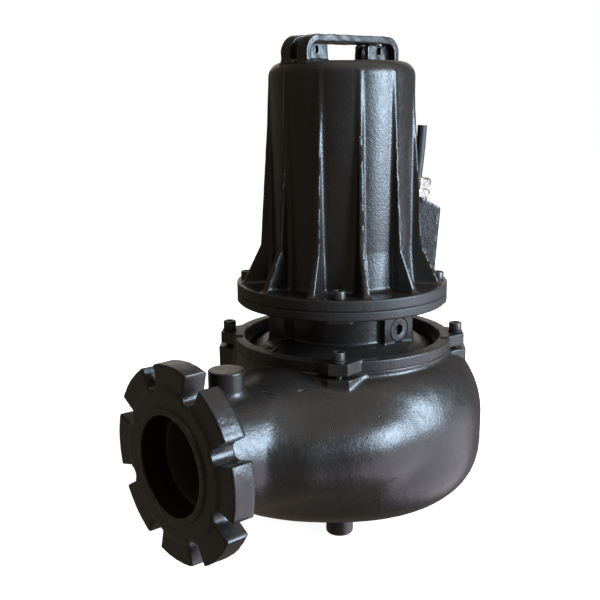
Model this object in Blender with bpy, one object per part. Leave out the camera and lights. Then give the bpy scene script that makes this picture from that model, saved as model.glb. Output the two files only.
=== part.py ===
"""Submersible pump: cast motor bell on an oil chamber and a round casing with a flanged outlet.

Metres, +Z up. The pump stands on its four feet at z = 0 and the outlet faces -Y.
Every piece is modelled about the pump's own vertical axis and parented to an empty on that axis.
"""

import math

import bmesh
import bpy
from mathutils import Matrix

# Overall placing: the axis stands off the middle of the box, because the outlet and scroll reach further.
PUMP_AXIS_X = -0.0150
PUMP_AXIS_Y = 0.0646
SEAT = 0.0003

# Heights above the floor
CASING_BOTTOM = 0.028
RING_SEAM = 0.2153
COVER_TOP = 0.2279
LUG_TOP = 0.2296
CASING_LUG_TOP = 0.2115
OIL_FLANGE_BOTTOM = 0.2724
MOTOR_SEAM = 0.2842
MOTOR_FLANGE_TOP = 0.2974
RIB_KINK = 0.345
DOME_TOP = 0.563
HANDLE_TOP = 0.5935

# Motor housing
MOTOR_FLANGE_RADIUS = 0.132
MOTOR_WALL_RADIUS = 0.0886
DOME_CORNER = 0.018
RIB_COUNT = 12
RIB_STEP = 30.0
MOTOR_SCREW_CIRCLE = 0.120
JACK_HOLE_AZIMUTH = 75.0
JACK_HOLE_CIRCLE = 0.122
JACK_HOLE_RADIUS = 0.003
JACK_HOLE_DEPTH = 0.0075

# Screws: M10 socket heads at 90 degree steps, in line with the lugs
SCREW_AZIMUTHS = (45.0, 135.0, 225.0, 315.0)
SCREW_RADIUS = 0.005
SCREW_HOLE_RADIUS = 0.0056
SCREW_HEAD_RADIUS = 0.008
SCREW_HEAD_HEIGHT = 0.0097
SOCKET_FLATS = 0.008
SOCKET_DEPTH = 0.005
MOTOR_SHANK = 0.0205
COVER_SHANK = 0.039
COVER_SCREW_CIRCLE = 0.1441
WASHER_THICKNESS = 0.0021
WASHER_RADIUS = 0.0088
WASHER_SPLIT = 0.0014

# Lifting handle: two flat loops side by side
HANDLE_HALF_LENGTH = 0.0765
HANDLE_BAR = 0.0085
HANDLE_CORNER = 0.020
LOOP_INNER_X = 0.006
LOOP_OUTER_X = 0.023
WEB_THICKNESS = 0.006
WEB_INNER_Y = 0.033
WEB_TOP = 0.583
WEB_SLOT_Y = 0.052
WEB_SLOT_WIDTH = 0.0075
WEB_SLOT_BOTTOM = 0.572
WEB_SLOT_TOP = 0.581

# Oil chamber
NECK_RADIUS = 0.076
NECK_FOOT_RADIUS = 0.096
NECK_FOOT_TOP = 0.226
NECK_BOTTOM = 0.2143
SCREW_BOSS_HALF_WIDTH = 0.0165
SCREW_BOSS_DEPTH = 0.0025
SCREW_BOSS_REACH = 0.1306
SCREW_BOSS_CHAMFER = 0.004
# Each side block: its reach, half its outer face, where and how wide its shoulders are, and its root
SIDE_BLOCKS = {
    1: (0.0894, 0.0293, 0.054, 0.0648, 0.040, 0.050),
    -1: (0.0905, 0.0283, 0.071, 0.0477, 0.055, 0.035),
}
PLUG_PAD = 0.084
PLUG_ACROSS = 0.0175
PLUG_HEIGHT = 0.2434
PLUG_RADIUS = 0.0134
PLUG_DEPTH = 0.008
PLUG_FLATS = 0.012

# Shaft and impeller
SHAFT_RADIUS = 0.014
SHAFT_TOP = 0.235
SHAFT_BOTTOM = 0.158
IMPELLER_RADIUS = 0.090
VANE_COUNT = 6
VANE_THICKNESS = 0.006

# Back cover and the casing's ring
RING_RADIUS = 0.1378
RING_FOOT = 0.190
RING_OPENING = 0.124
COVER_SPIGOT_RADIUS = 0.1185
COVER_UNDERSIDE = 0.196
LUG_HALF_WIDTH = 0.027
LUG_NOSE_HALF_WIDTH = 0.011
LUG_SHOULDER = 0.133
LUG_REACH = 0.154

# Casing: its reach falls from the outlet's outer side all the way round to the cutwater
REACH_MEAN = 0.1685
REACH_SWING = 0.0185
SCROLL_START = 30.0
SCROLL_SWEEP = 300.0
FLARE = 0.0255
FLARE_START = 60.0
TONGUE_SPREAD = 15.0
CASING_WALL = 0.010
CASING_ROOF = 0.022
SHOULDER_RADIUS = 0.1225
SHOULDER_BASE = 0.132
SHOULDER_HEIGHT = 0.079
BELLY_RADIUS = 0.1165
BELLY_TOP = 0.100
BELLY_HEIGHT = 0.072
SUCTION_RADIUS = 0.052
SCREW_HOLE_BOTTOM = 0.1905

# Swell of the casing's side: its reach every 15 degrees, out of the nozzle and dying away round the scroll
SWELL_CORE = 0.100
SWELL_INNER = 0.140
SWELL_MIDDLE = 0.137
SWELL_LOW_HALF = 0.046
SWELL_GAIN = 0.020
SWELL_LOW_REACH = 0.150
SWELL_FULL_REACH = 0.190
SWELL_ROOF_SHARE = 1.6
SWELL_STEP = 15.0
SWELL_REACH = (
    0.1650, 0.2090, 0.2360, 0.2270, 0.2085, 0.1885, 0.1805, 0.1760,
    0.1744, 0.1719, 0.1692, 0.1664, 0.1635, 0.1606, 0.1578, 0.1551,
    0.1526, 0.1504, 0.1485, 0.1470, 0.1460, 0.1455, 0.1455, 0.1460,
)

# Outlet: a 220 mm flange with eight open slots on a 180 mm circle
OUTLET_X = 0.048
OUTLET_HEIGHT = 0.142
OUTLET_FACE = -0.2933
OUTLET_RADIUS = 0.110
OUTLET_THICKNESS = 0.0280
OUTLET_RAISED_RADIUS = 0.0833
OUTLET_RAISED = 0.0022
OUTLET_LIP_RADIUS = 0.0637
OUTLET_LIP = 0.0045
OUTLET_BORE = 0.0555
OUTLET_INNER_BORE = 0.0505
OUTLET_BORE_DEPTH = 0.028
PASSAGE_END = -0.06
SLOT_COUNT = 8
SLOT_CIRCLE = 0.090
SLOT_RADIUS = 0.0095
SLOT_MOUTH_HALF_WIDTH = 0.013
BOSS_Y = -0.219
BOSS_RADIUS = 0.020
BOSS_TOP = 0.233

# Feet and suction side
FOOT_RADIUS = 0.0165
FOOT_CIRCLE = 0.098
FOOT_ROUNDING = 0.004
FOOT_TOP = 0.0295
SUCTION_RING_RADIUS = 0.066
SUCTION_RING_HEIGHT = 0.008

# Cable entry box: cast on the motor bell between two ribs
BOX_AZIMUTH = 165.0
BOX_HALF_WIDTH = 0.0245
BOX_CHAMFER = 0.004
BOX_REACH_BOTTOM = 0.1265
BOX_REACH_TOP = 0.134
BOX_TOP_OUTER = 0.381
BOX_TOP_SLOPE = 0.55

# Cable gland: heights are along its own axis, which leans outwards from the seat on the box
GLAND_LEAN = 8.0
GLAND_REACH = 0.1062
GLAND_SEAT = 0.3885
GLAND_SPOT_RADIUS = 0.0176
GLAND_COLLAR_RADIUS = 0.0165
GLAND_COLLAR_TOP = 0.0080
GLAND_FLATS = 0.0335
GLAND_BODY_TOP = 0.0180
GLAND_NECK_RADIUS = 0.0140
GLAND_NUT_BOTTOM = 0.0190
GLAND_NUT_TOP = 0.0335
CABLE_RADIUS = 0.006
CABLE_SUNK = 0.008
CABLE_LENGTH = 0.072
CABLE_STRAIGHTENING = 0.70

ROUND_STEPS = 48
NOZZLE_STEPS = 32
SMALL_STEPS = 20
ARC_ANGLES = (0.0, 15.0, 30.0, 45.0, 60.0, 75.0, 90.0)
SHARP_ANGLE = 35.0


def clear_scene():
    """Remove whatever the file holds."""
    for item in list(bpy.data.objects):
        bpy.data.objects.remove(item, do_unlink=True)


def around(azimuth, radius):
    """Point on a circle about the axis; azimuth 0 is -Y and 90 is +X."""
    angle = math.radians(azimuth)
    return radius * math.sin(angle), -radius * math.cos(angle)


def material(name, colour, roughness, metallic):
    """Principled material with one colour."""
    result = bpy.data.materials.new(name)
    result.use_nodes = True
    shader = result.node_tree.nodes["Principled BSDF"]
    shader.inputs["Base Color"].default_value = (*colour, 1.0)
    shader.inputs["Roughness"].default_value = roughness
    shader.inputs["Metallic"].default_value = metallic
    return result


def object_from(name, points, faces):
    """Closed mesh object with its faces turned outwards."""
    mesh = bpy.data.meshes.new(name)
    mesh.from_pydata(points, [], faces)
    work = bmesh.new()
    work.from_mesh(mesh)
    bmesh.ops.recalc_face_normals(work, faces=work.faces)
    work.to_mesh(mesh)
    work.free()
    result = bpy.data.objects.new(name, mesh)
    bpy.context.scene.collection.objects.link(result)
    return result


def loft(name, rings):
    """Closed solid through rings of equal point counts, capped at both ends."""
    count = len(rings[0])
    points = [point for ring in rings for point in ring]
    faces = []
    for row in range(len(rings) - 1):
        start = row * count
        for step in range(count):
            after = (step + 1) % count
            faces.append((start + step, start + after, start + count + after, start + count + step))
    faces.append(tuple(reversed(range(count))))
    last = (len(rings) - 1) * count
    faces.append(tuple(range(last, last + count)))
    return object_from(name, points, faces)


def turned(name, profile, steps=ROUND_STEPS, centre=(0.0, 0.0)):
    """Solid of revolution whose profile of (radius, height) ends in flat caps."""
    rings = []
    for radius, height in profile:
        ring = []
        for step in range(steps):
            angle = 2.0 * math.pi * step / steps
            ring.append((centre[0] + radius * math.cos(angle), centre[1] + radius * math.sin(angle), height))
        rings.append(ring)
    return loft(name, rings)


def turned_ring(name, profile, steps=ROUND_STEPS, centre=(0.0, 0.0)):
    """Solid of revolution of a closed outline of (radius, height) that stays off the axis."""
    count = len(profile)
    points = []
    for step in range(steps):
        angle = 2.0 * math.pi * step / steps
        for radius, height in profile:
            x = centre[0] + radius * math.cos(angle)
            y = centre[1] + radius * math.sin(angle)
            points.append((x, y, height))
    faces = []
    for step in range(steps):
        here = step * count
        there = ((step + 1) % steps) * count
        for index in range(count):
            after = (index + 1) % count
            faces.append((here + index, here + after, there + after, there + index))
    return object_from(name, points, faces)


def prism(name, outline, bottom, top):
    """Upright prism over an outline of (x, y)."""
    return loft(name, [[(x, y, height) for x, y in outline] for height in (bottom, top)])


def plate(name, outline, low_x, high_x):
    """Prism along X over an outline of (y, z)."""
    return loft(name, [[(x, y, z) for y, z in outline] for x in (low_x, high_x)])


def rod(name, centre_x, centre_z, radius, low_y, high_y, steps=ROUND_STEPS):
    """Round bar along Y."""
    ring = []
    for step in range(steps):
        angle = 2.0 * math.pi * step / steps
        ring.append((centre_x + radius * math.cos(angle), centre_z + radius * math.sin(angle)))
    return loft(name, [[(x, y, z) for x, z in ring] for y in (low_y, high_y)])


def arc(centre, radii, start, end, steps):
    """Points of an elliptic arc in the plane of an outline, from start to end degrees."""
    result = []
    for step in range(steps + 1):
        angle = math.radians(start + (end - start) * step / steps)
        result.append((centre[0] + radii[0] * math.cos(angle), centre[1] + radii[1] * math.sin(angle)))
    return result


def hexagon(flats, turn=0.0):
    """Hexagon of (x, y) about the origin, measured across its flats."""
    radius = flats / math.sqrt(3.0)
    return arc((0.0, 0.0), (radius, radius), turn, turn + 300.0, 5)


def turned_outline(outline, azimuth):
    """Outline given as (sideways, outwards) laid on the ground plane at an azimuth."""
    angle = math.radians(azimuth)
    side = (math.cos(angle), math.sin(angle))
    out = (math.sin(angle), -math.cos(angle))
    return [(s * side[0] + o * out[0], s * side[1] + o * out[1]) for s, o in outline]


def combine(target, tool, operation):
    """Apply a Boolean to the target and remove the tool."""
    modifier = target.modifiers.new(operation.lower(), "BOOLEAN")
    modifier.operation = operation
    modifier.solver = "EXACT"
    modifier.object = tool
    graph = bpy.context.evaluated_depsgraph_get()
    mesh = bpy.data.meshes.new_from_object(target.evaluated_get(graph))
    target.modifiers.clear()
    before = target.data
    target.data = mesh
    bpy.data.meshes.remove(before)
    bpy.data.objects.remove(tool, do_unlink=True)


def fuse(target, *tools):
    """Join closed shapes to the target."""
    for tool in tools:
        combine(target, tool, "UNION")


def cut(target, *tools):
    """Cut closed shapes out of the target."""
    for tool in tools:
        combine(target, tool, "DIFFERENCE")


def upright_hole(azimuth, circle, radius, bottom, top):
    """Cutter for a round upright hole on a circle about the axis."""
    return turned("hole", [(radius, bottom), (radius, top)], SMALL_STEPS // 2, around(azimuth, circle))


def wall_profile(grow):
    """Outer wall of the motor bell from its foot to the dome, grown by a clearance."""
    wall = MOTOR_WALL_RADIUS + grow
    corner = DOME_CORNER
    foot = [
        (wall + 0.0100, MOTOR_FLANGE_TOP + grow),
        (wall + 0.0062, MOTOR_FLANGE_TOP + grow + 0.0015),
        (wall + 0.0045, MOTOR_FLANGE_TOP + grow + 0.0055),
        (wall + 0.0005, RIB_KINK - 0.008),
    ]
    rounding = arc((wall - corner, DOME_TOP + grow - corner), (corner, corner), 0.0, 90.0, 5)
    crown = (0.030, DOME_TOP + grow + 0.0012)
    return foot + rounding + [crown]


def rib(azimuth):
    """One tapering rib of the motor bell, from nothing at the shoulder to the flange."""
    root = 0.082
    stations = (
        (DOME_TOP - 0.019, MOTOR_WALL_RADIUS - 0.0003, 0.0026, 0.0040),
        (RIB_KINK, 0.1020, 0.0062, 0.0115),
        (MOTOR_FLANGE_TOP - 0.002, 0.1256, 0.0082, 0.0180),
    )
    rings = []
    for height, reach, crest, base in stations:
        outline = [(-base / 2, root), (-crest / 2, reach), (crest / 2, reach), (base / 2, root)]
        rings.append([(x, y, height) for x, y in turned_outline(outline, azimuth)])
    return loft("rib", rings)


def motor_housing():
    """Bell casting of the motor: flange, wall, dome, ribs and cable entry box."""
    edge = 0.0008
    bottom = MOTOR_SEAM + SEAT / 2
    flange = [
        (MOTOR_FLANGE_RADIUS - edge, bottom),
        (MOTOR_FLANGE_RADIUS, bottom + edge),
        (MOTOR_FLANGE_RADIUS, MOTOR_FLANGE_TOP - edge),
        (MOTOR_FLANGE_RADIUS - edge, MOTOR_FLANGE_TOP),
    ]
    body = turned("motor_housing", flange + wall_profile(0.0))
    for index in range(RIB_COUNT):
        fuse(body, rib(RIB_STEP * index))
    fuse(body, cable_box())
    cut(body, gland_spot())
    above = MOTOR_FLANGE_TOP + 0.003
    for azimuth in SCREW_AZIMUTHS:
        cut(body, upright_hole(azimuth, MOTOR_SCREW_CIRCLE, SCREW_HOLE_RADIUS, bottom - 0.004, above))
    low = MOTOR_FLANGE_TOP - JACK_HOLE_DEPTH
    cut(body, upright_hole(JACK_HOLE_AZIMUTH, JACK_HOLE_CIRCLE, JACK_HOLE_RADIUS, low, above))
    return body


def handle_loop(name, side):
    """One flat loop of the lifting handle; side is +1 for the loop at +X and -1 for the other."""
    foot = DOME_TOP - 0.006
    inner_corner = HANDLE_CORNER - HANDLE_BAR
    inner_top = HANDLE_TOP - HANDLE_BAR
    inner_half = HANDLE_HALF_LENGTH - HANDLE_BAR
    outer_centre = (HANDLE_HALF_LENGTH - HANDLE_CORNER, HANDLE_TOP - HANDLE_CORNER)
    inner_centre = (inner_half - inner_corner, inner_top - inner_corner)
    outline = [(HANDLE_HALF_LENGTH, foot)]
    outline += arc(outer_centre, (HANDLE_CORNER, HANDLE_CORNER), 0.0, 90.0, 6)
    outline += arc((-outer_centre[0], outer_centre[1]), (HANDLE_CORNER, HANDLE_CORNER), 90.0, 180.0, 6)
    outline += [(-HANDLE_HALF_LENGTH, foot), (-inner_half, foot)]
    outline += arc((-inner_centre[0], inner_centre[1]), (inner_corner, inner_corner), 180.0, 90.0, 5)
    outline += arc(inner_centre, (inner_corner, inner_corner), 90.0, 0.0, 5)
    outline += [(inner_half, foot)]
    low_x, high_x = sorted((side * LOOP_INNER_X, side * LOOP_OUTER_X))
    loop = plate(name, outline, low_x, high_x)
    web_low, web_high = sorted((side * LOOP_INNER_X, side * (LOOP_INNER_X + WEB_THICKNESS)))
    for end in (-1, 1):
        near, far = sorted((end * WEB_INNER_Y, end * (inner_half + 0.004)))
        web = [(near, foot), (far, foot), (far, WEB_TOP), (near, WEB_TOP)]
        fuse(loop, plate("web", web, web_low, web_high))
        middle = end * WEB_SLOT_Y
        half = WEB_SLOT_WIDTH / 2
        slot = [
            (middle - half, WEB_SLOT_BOTTOM),
            (middle + half, WEB_SLOT_BOTTOM),
            (middle + half, WEB_SLOT_TOP),
            (middle - half, WEB_SLOT_TOP),
        ]
        cut(loop, plate("slot", slot, web_low - 0.002, web_high + 0.002))
    base = [(MOTOR_WALL_RADIUS, DOME_TOP - 0.05)] + wall_profile(SEAT)[4:]
    cut(loop, turned("dome", base))
    return loop


def socket_screw(name, shank):
    """Socket head cap screw with its head's underside at height 0."""
    edge = 0.0008
    profile = [
        (SCREW_RADIUS - edge, -shank),
        (SCREW_RADIUS, -shank + edge),
        (SCREW_RADIUS, 0.0),
        (SCREW_HEAD_RADIUS, 0.0),
        (SCREW_HEAD_RADIUS, SCREW_HEAD_HEIGHT - edge),
        (SCREW_HEAD_RADIUS - edge, SCREW_HEAD_HEIGHT),
    ]
    body = turned(name, profile, SMALL_STEPS)
    cut(body, prism("socket", hexagon(SOCKET_FLATS), SCREW_HEAD_HEIGHT - SOCKET_DEPTH, 0.02))
    return body


def motor_screw(name):
    """Screw that holds the motor housing to the oil chamber."""
    return socket_screw(name, MOTOR_SHANK)


def cover_screw(name):
    """Screw that holds a lug of the back cover to the casing."""
    return socket_screw(name, COVER_SHANK)


def spring_washer(name):
    """Split spring washer with its underside at height 0."""
    inner = SCREW_RADIUS + 0.0006
    top = WASHER_THICKNESS
    profile = [(inner, 0.0), (WASHER_RADIUS, 0.0), (WASHER_RADIUS, top), (inner, top)]
    body = turned_ring(name, profile, SMALL_STEPS)
    half = WASHER_SPLIT / 2
    near = inner - 0.002
    far = WASHER_RADIUS + 0.002
    split = [(-half, near), (half, near), (WASHER_SPLIT, far), (0.0, far)]
    cut(body, prism("split", split, -0.001, top + 0.001))
    return body


def side_block(side):
    """Upright block on one side of the neck, in line with two opposite lugs."""
    reach, face, shoulder, half, root, root_half = SIDE_BLOCKS[side]
    outline = [
        (side * shoulder, half),
        (side * reach, face),
        (side * reach, -face),
        (side * shoulder, -half),
        (side * root, -root_half),
        (side * root, root_half),
    ]
    plan = turned_outline(outline, SCREW_AZIMUTHS[0])
    return prism("block", plan, NECK_BOTTOM + 0.002, OIL_FLANGE_BOTTOM + 0.002)


def oil_chamber():
    """Lower flange disc with its screw bosses, neck and side blocks."""
    edge = 0.0008
    top = MOTOR_SEAM - SEAT / 2
    profile = [
        (NECK_FOOT_RADIUS, NECK_BOTTOM),
        (NECK_FOOT_RADIUS + 0.001, NECK_FOOT_TOP - 0.006),
        (NECK_FOOT_RADIUS - 0.006, NECK_FOOT_TOP),
        (NECK_RADIUS + 0.004, NECK_FOOT_TOP + 0.005),
        (NECK_RADIUS, NECK_FOOT_TOP + 0.012),
        (NECK_RADIUS, OIL_FLANGE_BOTTOM),
        (MOTOR_FLANGE_RADIUS - 0.0025, OIL_FLANGE_BOTTOM),
        (MOTOR_FLANGE_RADIUS, OIL_FLANGE_BOTTOM + 0.0025),
        (MOTOR_FLANGE_RADIUS, top - edge),
        (MOTOR_FLANGE_RADIUS - edge, top),
    ]
    body = turned("oil_chamber", profile)
    fuse(body, side_block(1), side_block(-1))
    half = SCREW_BOSS_HALF_WIDTH
    front = SCREW_BOSS_REACH
    side = front - 0.0016
    nose = half - SCREW_BOSS_CHAMFER
    boss = [(-half, 0.105), (half, 0.105), (half, side), (nose, front), (-nose, front), (-half, side)]
    low = OIL_FLANGE_BOTTOM - SCREW_BOSS_DEPTH
    for azimuth in SCREW_AZIMUTHS:
        fuse(body, prism("boss", turned_outline(boss, azimuth), low, OIL_FLANGE_BOTTOM + 0.004))
        cut(body, upright_hole(azimuth, MOTOR_SCREW_CIRCLE, SCREW_HOLE_RADIUS, low + 0.0056, top + 0.006))
    for axis in ("X", "Y"):
        cut(body, plug_bar("recess", axis, PLUG_RADIUS + SEAT, PLUG_PAD - PLUG_DEPTH, PLUG_PAD + 0.02))
    bore = SHAFT_RADIUS + SEAT
    cut(body, turned("seat", [(bore, NECK_BOTTOM - 0.010), (bore, SHAFT_TOP + SEAT)], SMALL_STEPS))
    return body


def bar(name, ring, axis, low, high):
    """Prism along X or Y over a closed ring of (across, height)."""
    if axis == "X":
        return loft(name, [[(level, a, b) for a, b in ring] for level in (low, high)])
    return loft(name, [[(a, level, b) for a, b in ring] for level in (low, high)])


def plug_bar(name, axis, radius, low, high):
    """Round bar at a plug's place, square to the pad that faces the axis."""
    last = 360.0 * (SMALL_STEPS - 1) / SMALL_STEPS
    ring = arc((PLUG_ACROSS, PLUG_HEIGHT), (radius, radius), 0.0, last, SMALL_STEPS - 1)
    return bar(name, ring, axis, low, high)


def oil_plug(name, axis):
    """Hexagon socket plug in its recess, a little proud of the pad."""
    body = plug_bar(name, axis, PLUG_RADIUS, PLUG_PAD - PLUG_DEPTH + SEAT, PLUG_PAD + 0.001)
    radius = PLUG_FLATS / math.sqrt(3.0)
    outline = arc((PLUG_ACROSS, PLUG_HEIGHT), (radius, radius), 30.0, 330.0, 5)
    cut(body, bar("socket", outline, axis, PLUG_PAD - 0.005, PLUG_PAD + 0.01))
    return body


def lug_outline(reach, shoulder, inner):
    """Plan of a lug with a blunt three-sided nose, as (sideways, outwards)."""
    wide = LUG_HALF_WIDTH
    nose = LUG_NOSE_HALF_WIDTH
    return [(-wide, inner), (wide, inner), (wide, shoulder), (nose, reach), (-nose, reach), (-wide, shoulder)]


def back_cover():
    """Cover on the casing: ring with lugs, sloping floor and spigot."""
    low = RING_SEAM + SEAT
    profile = [
        (SHAFT_RADIUS + 0.002, COVER_UNDERSIDE),
        (COVER_SPIGOT_RADIUS, COVER_UNDERSIDE),
        (COVER_SPIGOT_RADIUS, low),
        (RING_RADIUS, low),
        (RING_RADIUS, COVER_TOP - 0.0010),
        (RING_RADIUS - 0.0010, COVER_TOP),
        (RING_OPENING, COVER_TOP),
        (RING_OPENING - 0.0015, COVER_TOP - 0.006),
        (NECK_FOOT_RADIUS + 0.003, NECK_BOTTOM - SEAT),
        (SHAFT_RADIUS + 0.002, NECK_BOTTOM - SEAT),
    ]
    body = turned_ring("back_cover", profile)
    for azimuth in SCREW_AZIMUTHS:
        outline = turned_outline(lug_outline(LUG_REACH, LUG_SHOULDER, RING_OPENING + SEAT), azimuth)
        fuse(body, prism("lug", outline, low, LUG_TOP))
        cut(body, upright_hole(azimuth, COVER_SCREW_CIRCLE, SCREW_HOLE_RADIUS, low - 0.005, LUG_TOP + 0.010))
    return body


def casing_reach(azimuth):
    """How far the scroll reaches from the axis at an azimuth."""
    turn = (azimuth + TONGUE_SPREAD) % 360.0 - TONGUE_SPREAD
    run = math.pi * (turn - SCROLL_START) / SCROLL_SWEEP
    round_part = REACH_MEAN + REACH_SWING * math.cos(run)
    if turn >= FLARE_START:
        return round_part
    if turn >= TONGUE_SPREAD:
        return round_part + FLARE * ((FLARE_START - turn) / (FLARE_START - TONGUE_SPREAD)) ** 2
    share = (turn + TONGUE_SPREAD) / (2.0 * TONGUE_SPREAD)
    low = REACH_MEAN - REACH_SWING
    high = REACH_MEAN + REACH_SWING + FLARE
    return low + (high - low) * (0.5 - 0.5 * math.cos(math.pi * share))


def scroll(name, wall, roof):
    """Scroll from its flat bottom to its flat top, taken in by the wall and by the roof's own thickness."""
    stations = []
    for angle in reversed(ARC_ANGLES):
        radians = math.radians(angle)
        drop = (BELLY_HEIGHT - wall) * math.sin(radians)
        stations.append((BELLY_RADIUS, BELLY_TOP - drop, math.cos(radians)))
    for angle in ARC_ANGLES:
        radians = math.radians(angle)
        rise = (SHOULDER_HEIGHT - roof) * math.sin(radians)
        stations.append((SHOULDER_RADIUS, SHOULDER_BASE + rise, math.cos(radians)))
    rings = []
    for inner, height, share in stations:
        ring = []
        for step in range(ROUND_STEPS):
            azimuth = 360.0 * step / ROUND_STEPS
            reach = inner + (casing_reach(azimuth) - wall - inner) * share
            x, y = around(azimuth, reach)
            ring.append((x, y, height))
        rings.append(ring)
    return loft(name, rings)


def swell_reach(azimuth):
    """How far the swell reaches from the axis at an azimuth."""
    place = (azimuth % 360.0) / SWELL_STEP
    index = int(place)
    before = SWELL_REACH[index % len(SWELL_REACH)]
    after = SWELL_REACH[(index + 1) % len(SWELL_REACH)]
    return before + (after - before) * (place - index)


def swell_half_height(reach):
    """Half the swell's height, less where it hardly reaches out."""
    share = (reach - SWELL_LOW_REACH) / (SWELL_FULL_REACH - SWELL_LOW_REACH)
    return SWELL_LOW_HALF + SWELL_GAIN * min(max(share, 0.0), 1.0)


def level_ring(radius, height):
    """Ring of points about the axis at one radius and height."""
    return [(*around(360.0 * step / ROUND_STEPS, radius), height) for step in range(ROUND_STEPS)]


def swell(name, wall):
    """Swell of the casing's side, taken in by the wall."""
    inner = SWELL_INNER - wall
    core_half = SWELL_LOW_HALF - SWELL_ROOF_SHARE * wall
    angles = [-angle for angle in reversed(ARC_ANGLES)] + list(ARC_ANGLES[1:])
    rings = [level_ring(SWELL_CORE, SWELL_MIDDLE - core_half)]
    for angle in angles:
        out, up = math.cos(math.radians(angle)), math.sin(math.radians(angle))
        ring = []
        for step in range(ROUND_STEPS):
            azimuth = 360.0 * step / ROUND_STEPS
            reach = swell_reach(azimuth)
            half = swell_half_height(reach) - SWELL_ROOF_SHARE * wall
            x, y = around(azimuth, inner + (reach - wall - inner) * out)
            ring.append((x, y, SWELL_MIDDLE + half * up))
        rings.append(ring)
    rings.append(level_ring(SWELL_CORE, SWELL_MIDDLE + core_half))
    return loft(name, rings)


def nozzle():
    """Outlet nozzle from the flange into the casing, widening towards it.

    Each station is its place along Y, the middle of its section and half its width and height.
    """
    stations = (
        (OUTLET_FACE + OUTLET_THICKNESS / 2, OUTLET_X, 0.1428, 0.0650, 0.0638),
        (-0.2620, OUTLET_X, 0.1435, 0.0660, 0.0640),
        (-0.2350, OUTLET_X, 0.1415, 0.0680, 0.0670),
        (-0.2050, OUTLET_X, 0.1378, 0.0705, 0.0718),
        (-0.1700, OUTLET_X, 0.1328, 0.0735, 0.0778),
        (-0.1300, OUTLET_X - 0.001, 0.1265, 0.0780, 0.0845),
        (-0.0900, OUTLET_X - 0.003, 0.1228, 0.0830, 0.0883),
    )
    rings = []
    for y, x, z, wide, tall in stations:
        section = arc((x, z), (wide, tall), 0.0, 360.0 - 360.0 / NOZZLE_STEPS, NOZZLE_STEPS - 1)
        rings.append([(across, y, height) for across, height in section])
    return loft("nozzle", rings)


def outlet_flange():
    """Outlet flange with its eight open slots, raised face and lip, without the bore."""
    back = OUTLET_FACE + OUTLET_THICKNESS
    edge = 0.002
    rings = []
    steps = ROUND_STEPS
    for radius, y in (
        (OUTLET_RADIUS - edge, back),
        (OUTLET_RADIUS, back - edge),
        (OUTLET_RADIUS, OUTLET_FACE + edge),
        (OUTLET_RADIUS - edge, OUTLET_FACE),
        (OUTLET_RAISED_RADIUS + OUTLET_RAISED, OUTLET_FACE),
        (OUTLET_RAISED_RADIUS, OUTLET_FACE - OUTLET_RAISED),
        (OUTLET_LIP_RADIUS, OUTLET_FACE - OUTLET_RAISED),
        (OUTLET_LIP_RADIUS - 0.001, OUTLET_FACE - OUTLET_LIP),
    ):
        ring = []
        for step in range(steps):
            angle = 2.0 * math.pi * step / steps
            ring.append((OUTLET_X + radius * math.cos(angle), y, OUTLET_HEIGHT + radius * math.sin(angle)))
        rings.append(ring)
    body = loft("flange", rings)
    for index in range(SLOT_COUNT):
        middle = math.radians(360.0 * (index + 0.5) / SLOT_COUNT)
        out = (math.cos(middle), math.sin(middle))
        side = (-out[1], out[0])
        mouth = OUTLET_RADIUS + 0.004
        profile = [(-SLOT_MOUTH_HALF_WIDTH, mouth)]
        profile += arc((0.0, SLOT_CIRCLE), (SLOT_RADIUS, SLOT_RADIUS), 180.0, 360.0, 8)
        profile += [(SLOT_MOUTH_HALF_WIDTH, mouth)]
        outline = []
        for across, reach in profile:
            x = OUTLET_X + reach * out[0] + across * side[0]
            z = OUTLET_HEIGHT + reach * out[1] + across * side[1]
            outline.append((x, z))
        levels = (OUTLET_FACE - 0.01, back + 0.004)
        cut(body, loft("slot", [[(x, y, z) for x, z in outline] for y in levels]))
    return body


def casing_lug(azimuth):
    """Lug on the casing that grows out of the shoulder below the cover's lug."""
    inner = 0.125
    low = lug_outline(LUG_SHOULDER + 0.008, LUG_SHOULDER - 0.010, inner)
    high = lug_outline(LUG_REACH + 0.001, LUG_SHOULDER, inner)
    rings = []
    for outline, height in ((low, 0.145), (high, 0.165), (high, CASING_LUG_TOP)):
        rings.append([(x, y, height) for x, y in turned_outline(outline, azimuth)])
    return loft("lug", rings)


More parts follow.
